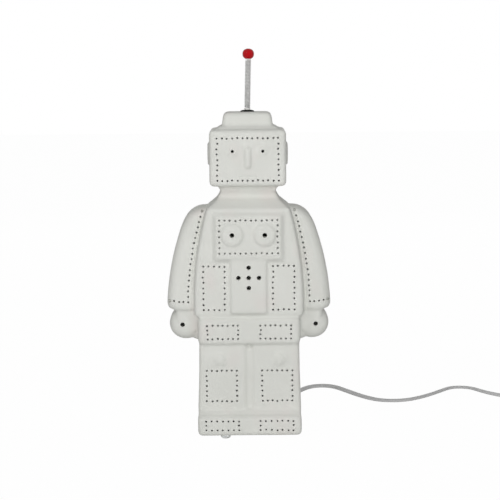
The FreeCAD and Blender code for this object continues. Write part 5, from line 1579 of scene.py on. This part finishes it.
@dataclass
class InnerCores:
    """The two insulated cores from gland to lampholder, as they lie at rest."""

    half_spacing: float = 1.4
    radius: float = 1.1
    exit_z: float = 15.5
    arch_z: float = 20.5
    entry_z: float = 14.7
    start_y: float = 32.5
    end_y: float = 6.75
    holder_y: float = 13.5
    gland_margin: float = 2.0
    holder_margin: float = 1.5

    def core(self, name: str, node: str, side: int, material: Material) -> Piece:
        """Make one core.

        Args:
            name: Name of the piece.
            node: The solid that it stands for.
            side: -1 or 1 for its side of the middle.
            material: Its finish.

        Returns:
            The piece.
        """
        span = self.start_y - self.holder_y
        heights = ((0.0, self.exit_z), (0.3, self.exit_z), (0.5, self.arch_z), (0.75, self.entry_z))
        stops = [(self.start_y - span * share, z) for share, z in heights] + [(self.end_y, self.entry_z)]
        curve = bpy.data.curves.new(name, "CURVE")
        curve.dimensions = "3D"
        curve.bevel_depth = self.radius * MM
        curve.bevel_resolution = 3
        curve.resolution_u = 10
        curve.use_fill_caps = True
        spline = curve.splines.new("NURBS")
        spline.points.add(len(stops) - 1)
        for point, (y, z) in zip(spline.points, stops):
            point.co = (side * self.half_spacing * MM, y * MM, z * MM, 1.0)
        spline.order_u = 3
        spline.use_endpoint_u = True
        guide = bpy.data.objects.new(name + "_guide", curve)
        bpy.context.scene.collection.objects.link(guide)
        form = bmesh.new()
        graph = bpy.context.evaluated_depsgraph_get()
        form.from_mesh(bpy.data.meshes.new_from_object(guide.evaluated_get(graph)))
        bmesh.ops.remove_doubles(form, verts=form.verts, dist=1e-6)
        bmesh.ops.recalc_face_normals(form, faces=form.faces)
        bpy.data.objects.remove(guide)
        piece = as_object(form, name)
        dress(piece, material, 50.0)
        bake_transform(piece)
        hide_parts(node)
        return piece

    def build(self, live: Material, neutral: Material) -> None:
        """Make both cores.

        Args:
            live: Finish of the brown core.
            neutral: Finish of the blue core.
        """
        for piece in (
            self.core("brown_core", "conductor_live", -1, live),
            self.core("blue_core", "conductor_neutral", 1, neutral),
        ):
            log.info("%s: %d faces", piece.name, len(piece.data.polygons))


@dataclass(frozen=True)
class Relief:
    """A ringed, tapering strain relief: the solid it stands for, and its sizes from its wide end."""

    name: str
    node: str
    slot: str
    root: Place
    heading: float
    root_radius: float
    tip_radius: float
    length: float
    flange_radius: float = 0.0
    flange: float = 2.0
    thread_radius: float = 4.1
    thread: float = 9.0
    rings: int = 5
    ring_depth: float = 0.6

    def profile(self) -> list[Point]:
        """Return its half section as radius and distance from the root."""
        points = [(0.0, 0.0), (self.root_radius - 0.3, 0.0), (self.root_radius, 0.3)]
        if self.flange_radius > 0:
            points = [
                (0.0, -self.flange - self.thread),
                (self.thread_radius, -self.flange - self.thread),
                (self.thread_radius, -self.flange),
                (self.flange_radius - 0.3, -self.flange),
                (self.flange_radius, -self.flange + 0.3),
                (self.flange_radius, -0.5),
                (self.flange_radius - 0.5, 0.0),
                (self.root_radius, 0.2),
            ]
        first, last = self.length * 0.12, self.length * 0.88
        step = (last - first) / self.rings
        for index in range(self.rings):
            for share, depth in ((0.0, 0.0), (0.08, 1.0), (0.42, 1.0), (0.5, 0.0)):
                along = first + step * (index + share)
                radius = self.root_radius + (self.tip_radius - self.root_radius) * along / self.length
                points.append((radius - depth * self.ring_depth, along))
        points += [(self.tip_radius, self.length - 0.5), (self.tip_radius - 0.4, self.length)]
        return points + [(0.0, self.length)]

    def build(self, material: Material) -> Piece:
        """Make the relief.

        Args:
            material: Its finish.

        Returns:
            The piece.
        """
        form = spun(self.profile(), 40)
        turn = math.radians(self.heading)
        way = Vector((math.cos(turn), math.sin(turn), 0.0))
        form.transform(Matrix.Translation(self.root) @ way.to_track_quat("Z", "Y").to_matrix().to_4x4())
        piece = as_object(form, self.name)
        to_metres(piece)
        dress(piece, material, 35.0)
        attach(piece, Body.LAMP.value)
        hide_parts(self.node)
        log.info("%s: %d faces", piece.name, len(piece.data.polygons))
        return piece


@dataclass(frozen=True)
class Stop:
    """A point of the cord's route and how far the flat flex stands on edge there, 0 to 1."""

    x: float
    y: float
    z: float
    edge: float


@dataclass
class FlatCord:
    """The flat two-core flex in its two stretches, with the strain reliefs at its ends."""

    half_width: float = 2.5
    half_thickness: float = 1.4
    waist: float = 1.12
    web_half: float = 1.2
    floor_gap: float = 0.06
    switch_tip: Point = (324.0, 101.5)
    switch_angle: float = -40.0
    switch_axis: float = 6.5
    switch_span: float = 98.0
    rise_run: float = 14.0
    coil_centre: Point = (401.0, 122.0)
    coil_radius: float = 27.5
    coil_step: float = 5.8
    coil_quarters: int = 13
    coil_lead: float = 5.0
    points_per_quarter: int = 4
    layer_rise: float = 5.2
    tail_bend: Point = (440.5, 152.0)
    plug_angle: float = 68.0
    plug_axis: float = 6.85
    switch_relief: float = 20.0
    plug_relief: float = 22.0
    gland_root: Place = (0.0, 43.5, 15.5)

    def reliefs(self) -> list[Relief]:
        """Return the strain reliefs at the lamp, at both ends of the switch and at the plug."""
        way = self.way(self.switch_angle)
        tip = self.switch_start()
        near_root = tip + way * self.switch_relief
        far_root = tip + way * (self.switch_span - self.switch_relief)
        plug_tip = Vector((*self.tail_bend, self.plug_axis)) + self.way(self.plug_angle) * self.rise_run
        plug_root = plug_tip + self.way(self.plug_angle) * self.plug_relief
        switch_sizes = {"root_radius": 4.6, "tip_radius": 3.2, "length": self.switch_relief}
        return [
            Relief(
                "gland_sleeve", "cord_gland", "gland_plastic", self.gland_root, heading=90.0,
                root_radius=4.2, tip_radius=3.3, length=24.0, flange_radius=5.8,
            ),
            Relief(
                "switch_sleeve_lamp_side", "switch_relief_lamp_side", "switch_plastic",
                tuple(near_root), heading=self.switch_angle + 180.0, **switch_sizes,
            ),
            Relief(
                "switch_sleeve_plug_side", "switch_relief_plug_side", "switch_plastic",
                tuple(far_root), heading=self.switch_angle, **switch_sizes,
            ),
            Relief(
                "plug_sleeve", "plug_relief", "plug_plastic", tuple(plug_root),
                heading=self.plug_angle + 180.0, root_radius=5.0, tip_radius=3.3, length=self.plug_relief,
            ),
        ]

    def switch_start(self) -> Vector:
        """Place where the flex from the lamp enters the switch's relief."""
        return Vector((*self.switch_tip, self.switch_axis))

    def lying(self, edge: float) -> float:
        """Height of the flex's middle above the floor for how far it stands on edge."""
        turn = edge * math.pi / 2
        reach = math.hypot(self.half_width * math.sin(turn), self.half_thickness * math.cos(turn))
        return reach + self.floor_gap

    def on_floor(self, x: float, y: float, edge: float) -> Stop:
        """A stop on the floor."""
        return Stop(x, y, self.lying(edge), edge)

    def way(self, degrees: float) -> Vector:
        """Level direction at an angle from +X."""
        return Vector((math.cos(math.radians(degrees)), math.sin(math.radians(degrees)), 0.0))

    def lamp_side(self) -> list[Stop]:
        """Return the stops from the gland to the switch."""
        switch_way = self.way(self.switch_angle)
        tip = self.switch_start()
        before = tip - switch_way * self.rise_run
        return [
            Stop(0.0, 67.5, 15.5, 0.0),
            Stop(0.0, 88.0, 15.5, 0.1),
            Stop(10.0, 111.0, 3.6, 0.5),
            self.on_floor(30.0, 124.0, 0.6),
            self.on_floor(49.0, 141.0, 0.4),
            self.on_floor(64.0, 173.0, 0.3),
            self.on_floor(80.0, 182.0, 0.3),
            self.on_floor(96.0, 176.0, 0.35),
            self.on_floor(109.0, 153.0, 0.35),
            self.on_floor(124.0, 127.0, 0.3),
            self.on_floor(142.0, 107.5, 0.15),
            self.on_floor(169.0, 107.0, 0.1),
            self.on_floor(193.0, 126.0, 0.05),
            self.on_floor(213.0, 150.0, 0.0),
            self.on_floor(228.0, 169.0, 0.0),
            self.on_floor(248.5, 167.5, 0.0),
            self.on_floor(262.0, 143.0, 0.1),
            self.on_floor(277.5, 125.5, 0.2),
            self.on_floor(293.0, 118.0, 0.25),
            Stop(before.x, before.y, self.switch_axis, 0.3),
            Stop(tip.x, tip.y, self.switch_axis, 0.0),
        ]

    def coil(self) -> list[Stop]:
        """Return the stops of the put-away coil: in on the floor, up, and out again on top."""
        spread = self.coil_step * self.coil_quarters / 4
        outer = self.coil_radius + spread / 2
        inner = self.coil_radius - spread / 2
        count = self.coil_quarters * self.points_per_quarter
        climb = 2 * self.points_per_quarter
        low = self.lying(1.0)
        plan = [(outer + (inner - outer) * index / count, low) for index in range(count + 1)]
        for index in range(1, climb):
            plan.append((inner - self.coil_step / 8, low + self.layer_rise * index / climb))
        top = low + self.layer_rise
        plan += [(inner + (outer - inner) * index / count, top) for index in range(count + 1)]
        turn = math.pi / 2 / self.points_per_quarter
        swell = 1 / (0.5 + 0.5 * math.cos(turn / 2))
        start_x, start_y = self.coil_centre[0] + outer, self.coil_centre[1]
        stops = [Stop(start_x, start_y - self.coil_lead, low, 1.0)]
        for index, (radius, z) in enumerate(plan):
            angle = turn * index
            x = self.coil_centre[0] + radius * swell * math.cos(angle)
            y = self.coil_centre[1] + radius * swell * math.sin(angle)
            stops.append(Stop(x, y, z, 1.0))
        stops.append(Stop(start_x, start_y + self.coil_lead, top, 1.0))
        return stops

    def plug_side(self) -> list[Stop]:
        """Return the stops from the switch through the coil to the plug."""
        switch_way = self.way(self.switch_angle)
        tip = self.switch_start() + switch_way * self.switch_span
        after = tip + switch_way * self.rise_run
        bend = Vector((*self.tail_bend, self.plug_axis))
        plug = bend + self.way(self.plug_angle) * self.rise_run
        coil = self.coil()
        lift = Stop(coil[-1].x, coil[-1].y + self.rise_run, coil[-1].z, 0.7)
        return [
            Stop(tip.x, tip.y, self.switch_axis, 0.0),
            Stop(after.x, after.y, self.switch_axis, 0.3),
            self.on_floor(424.0, 18.0, 0.8),
            self.on_floor(443.0, 19.0, 1.0),
            self.on_floor(456.0, 34.0, 1.0),
            self.on_floor(457.0, 55.0, 1.0),
            self.on_floor(448.0, 78.0, 1.0),
            self.on_floor(coil[0].x, 95.0, 1.0),
            *coil,
            lift,
            Stop(bend.x, bend.y, bend.z, 0.3),
            Stop(plug.x, plug.y, plug.z, 0.0),
        ]

    def section(self) -> Piece:
        """Return the hidden section of the flex: two round cores joined by a web."""
        curve = bpy.data.curves.new("flex_section", "CURVE")
        curve.dimensions = "2D"
        spline = curve.splines.new("POLY")
        sides = 28
        spline.points.add(sides - 1)
        for index, point in enumerate(spline.points):
            angle = math.tau * index / sides
            across = self.half_width * math.cos(angle)
            lobe = abs(across) - (self.half_width - self.half_thickness)
            height = math.sqrt(max(self.half_thickness ** 2 - lobe ** 2, 0.0))
            height = max(height, self.waist if abs(across) < self.web_half else 0.0)
            point.co = (across * MM, math.copysign(height, math.sin(angle)) * MM, 0.0, 1.0)
        spline.use_cyclic_u = True
        piece = bpy.data.objects.new("flex_section", curve)
        piece.hide_render = True
        bpy.context.scene.collection.objects.link(piece)
        return piece

    def flex(self, name: str, stops: list[Stop], section: Piece, material: Material) -> Piece:
        """Make a stretch of flex along its stops.

        Args:
            name: Name of the piece.
            stops: The control points of its line.
            section: The section's object.
            material: Its finish.

        Returns:
            The piece.
        """
        curve = bpy.data.curves.new(name, "CURVE")
        curve.dimensions = "3D"
        curve.twist_mode = "Z_UP"
        curve.resolution_u = 8
        curve.bevel_mode = "OBJECT"
        curve.bevel_object = section
        curve.use_fill_caps = True
        spline = curve.splines.new("NURBS")
        spline.points.add(len(stops) - 1)
        for point, stop in zip(spline.points, stops):
            point.co = (stop.x * MM, stop.y * MM, stop.z * MM, 1.0)
            point.tilt = stop.edge * math.pi / 2
        spline.order_u = 3
        spline.use_endpoint_u = True
        piece = bpy.data.objects.new(name, curve)
        bpy.context.scene.collection.objects.link(piece)
        dress(piece, material)
        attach(piece, Body.LAMP.value)
        return piece

    def build(self, material: Material) -> None:
        """Args:
            material: Finish of the flex.
        """
        gland, lamp_end, plug_end, plug_sleeve = [relief.build(material) for relief in self.reliefs()]
        section = self.section()
        near = self.flex("flex_to_switch", self.lamp_side(), section, material)
        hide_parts("cord_lamp_side")
        far = self.flex("flex_to_plug", self.plug_side(), section, material)
        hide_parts("cord_plug_side", "cord_coil", "cord_tail")
        log.info("flex: %d and %d stops", len(self.lamp_side()), len(self.plug_side()))


def dress_cad_nodes() -> None:
    """Give every solid that stays shown its finish."""
    zinc = MetalFinish(Metal.ZINC).build()
    brass = MetalFinish(Metal.BRASS).build()
    holder = PlasticFinish(Plastic.HOLDER).build()
    switch = PlasticFinish(Plastic.SWITCH).build()
    plug = PlasticFinish(Plastic.PLUG).build()
    finishes = {
        "base_plate": zinc,
        "plate_clips": MetalFinish(Metal.DARK_STEEL).build(),
        "holder_nipple": zinc,
        "nipple_lower_nut": zinc,
        "nipple_upper_nut": zinc,
        "holder_base": holder,
        "holder_core": holder,
        "holder_sleeve": holder,
        "holder_screw_shell": brass,
        "holder_centre_contact": brass,
        "holder_terminal_screws": brass,
        "bulb_contact": MetalFinish(Metal.SOLDER).build(),
        "bulb_cap_insulator": GlassFinish("cap_glass", (0.02, 0.02, 0.025), 0.12, 0.0).build(),
        "bulb_cap": MetalFinish(Metal.CAP_ALUMINIUM).build(),
        "bulb_glass": GlassFinish("frosted_glass", (0.96, 0.96, 0.94), 0.45).build(),
        "bulb_stem": GlassFinish("stem_glass", (0.95, 0.97, 0.96), 0.06).build(),
        "bulb_filament": MetalFinish(Metal.TUNGSTEN).build(),
        "antenna_collar": PlasticFinish(Plastic.COLLAR).build(),
        "antenna_stud": zinc,
        "antenna_washer": zinc,
        "antenna_nut": zinc,
        "antenna_tip_plug": MetalFinish(Metal.CAP_ALUMINIUM).build(),
        "gland_nut": holder,
        "switch_base": switch,
        "switch_cover": switch,
        "switch_rocker": PlasticFinish(Plastic.ROCKER, 0.3).build(),
        "switch_rocker_pin": zinc,
        "switch_contacts": brass,
        "switch_screws": zinc,
        "plug_body": plug,
        "plug_pins": MetalFinish(Metal.NICKEL).build(),
    }
    for name, material in finishes.items():
        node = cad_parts[name]
        node.data.materials.clear()
        node.data.materials.append(material)
    log.info("dressed %d solids", len(finishes))


def main() -> None:
    """Build the studio and every piece of the lamp."""
    logging.basicConfig(level=logging.INFO, format="%(name)s: %(message)s")
    Studio().build()
    FlatCord().build(PlasticFinish(Plastic.CORD).build())
    PorcelainShell().build(BisqueFinish().build())
    Antenna().build(
        MetalFinish(Metal.SPRING_WIRE, 0.35).build(),
        LacquerFinish().build(),
        PlasticFinish(Plastic.GROMMET, gloss=0.05).build(),
    )
    FootPads().build(GlassFinish("clear_silicone", (0.93, 0.95, 0.95), 0.30, 0.75).build())
    InnerCores().build(PlasticFinish(Plastic.LIVE).build(), PlasticFinish(Plastic.NEUTRAL).build())
    dress_cad_nodes()


if __name__ == "__main__":
    main()
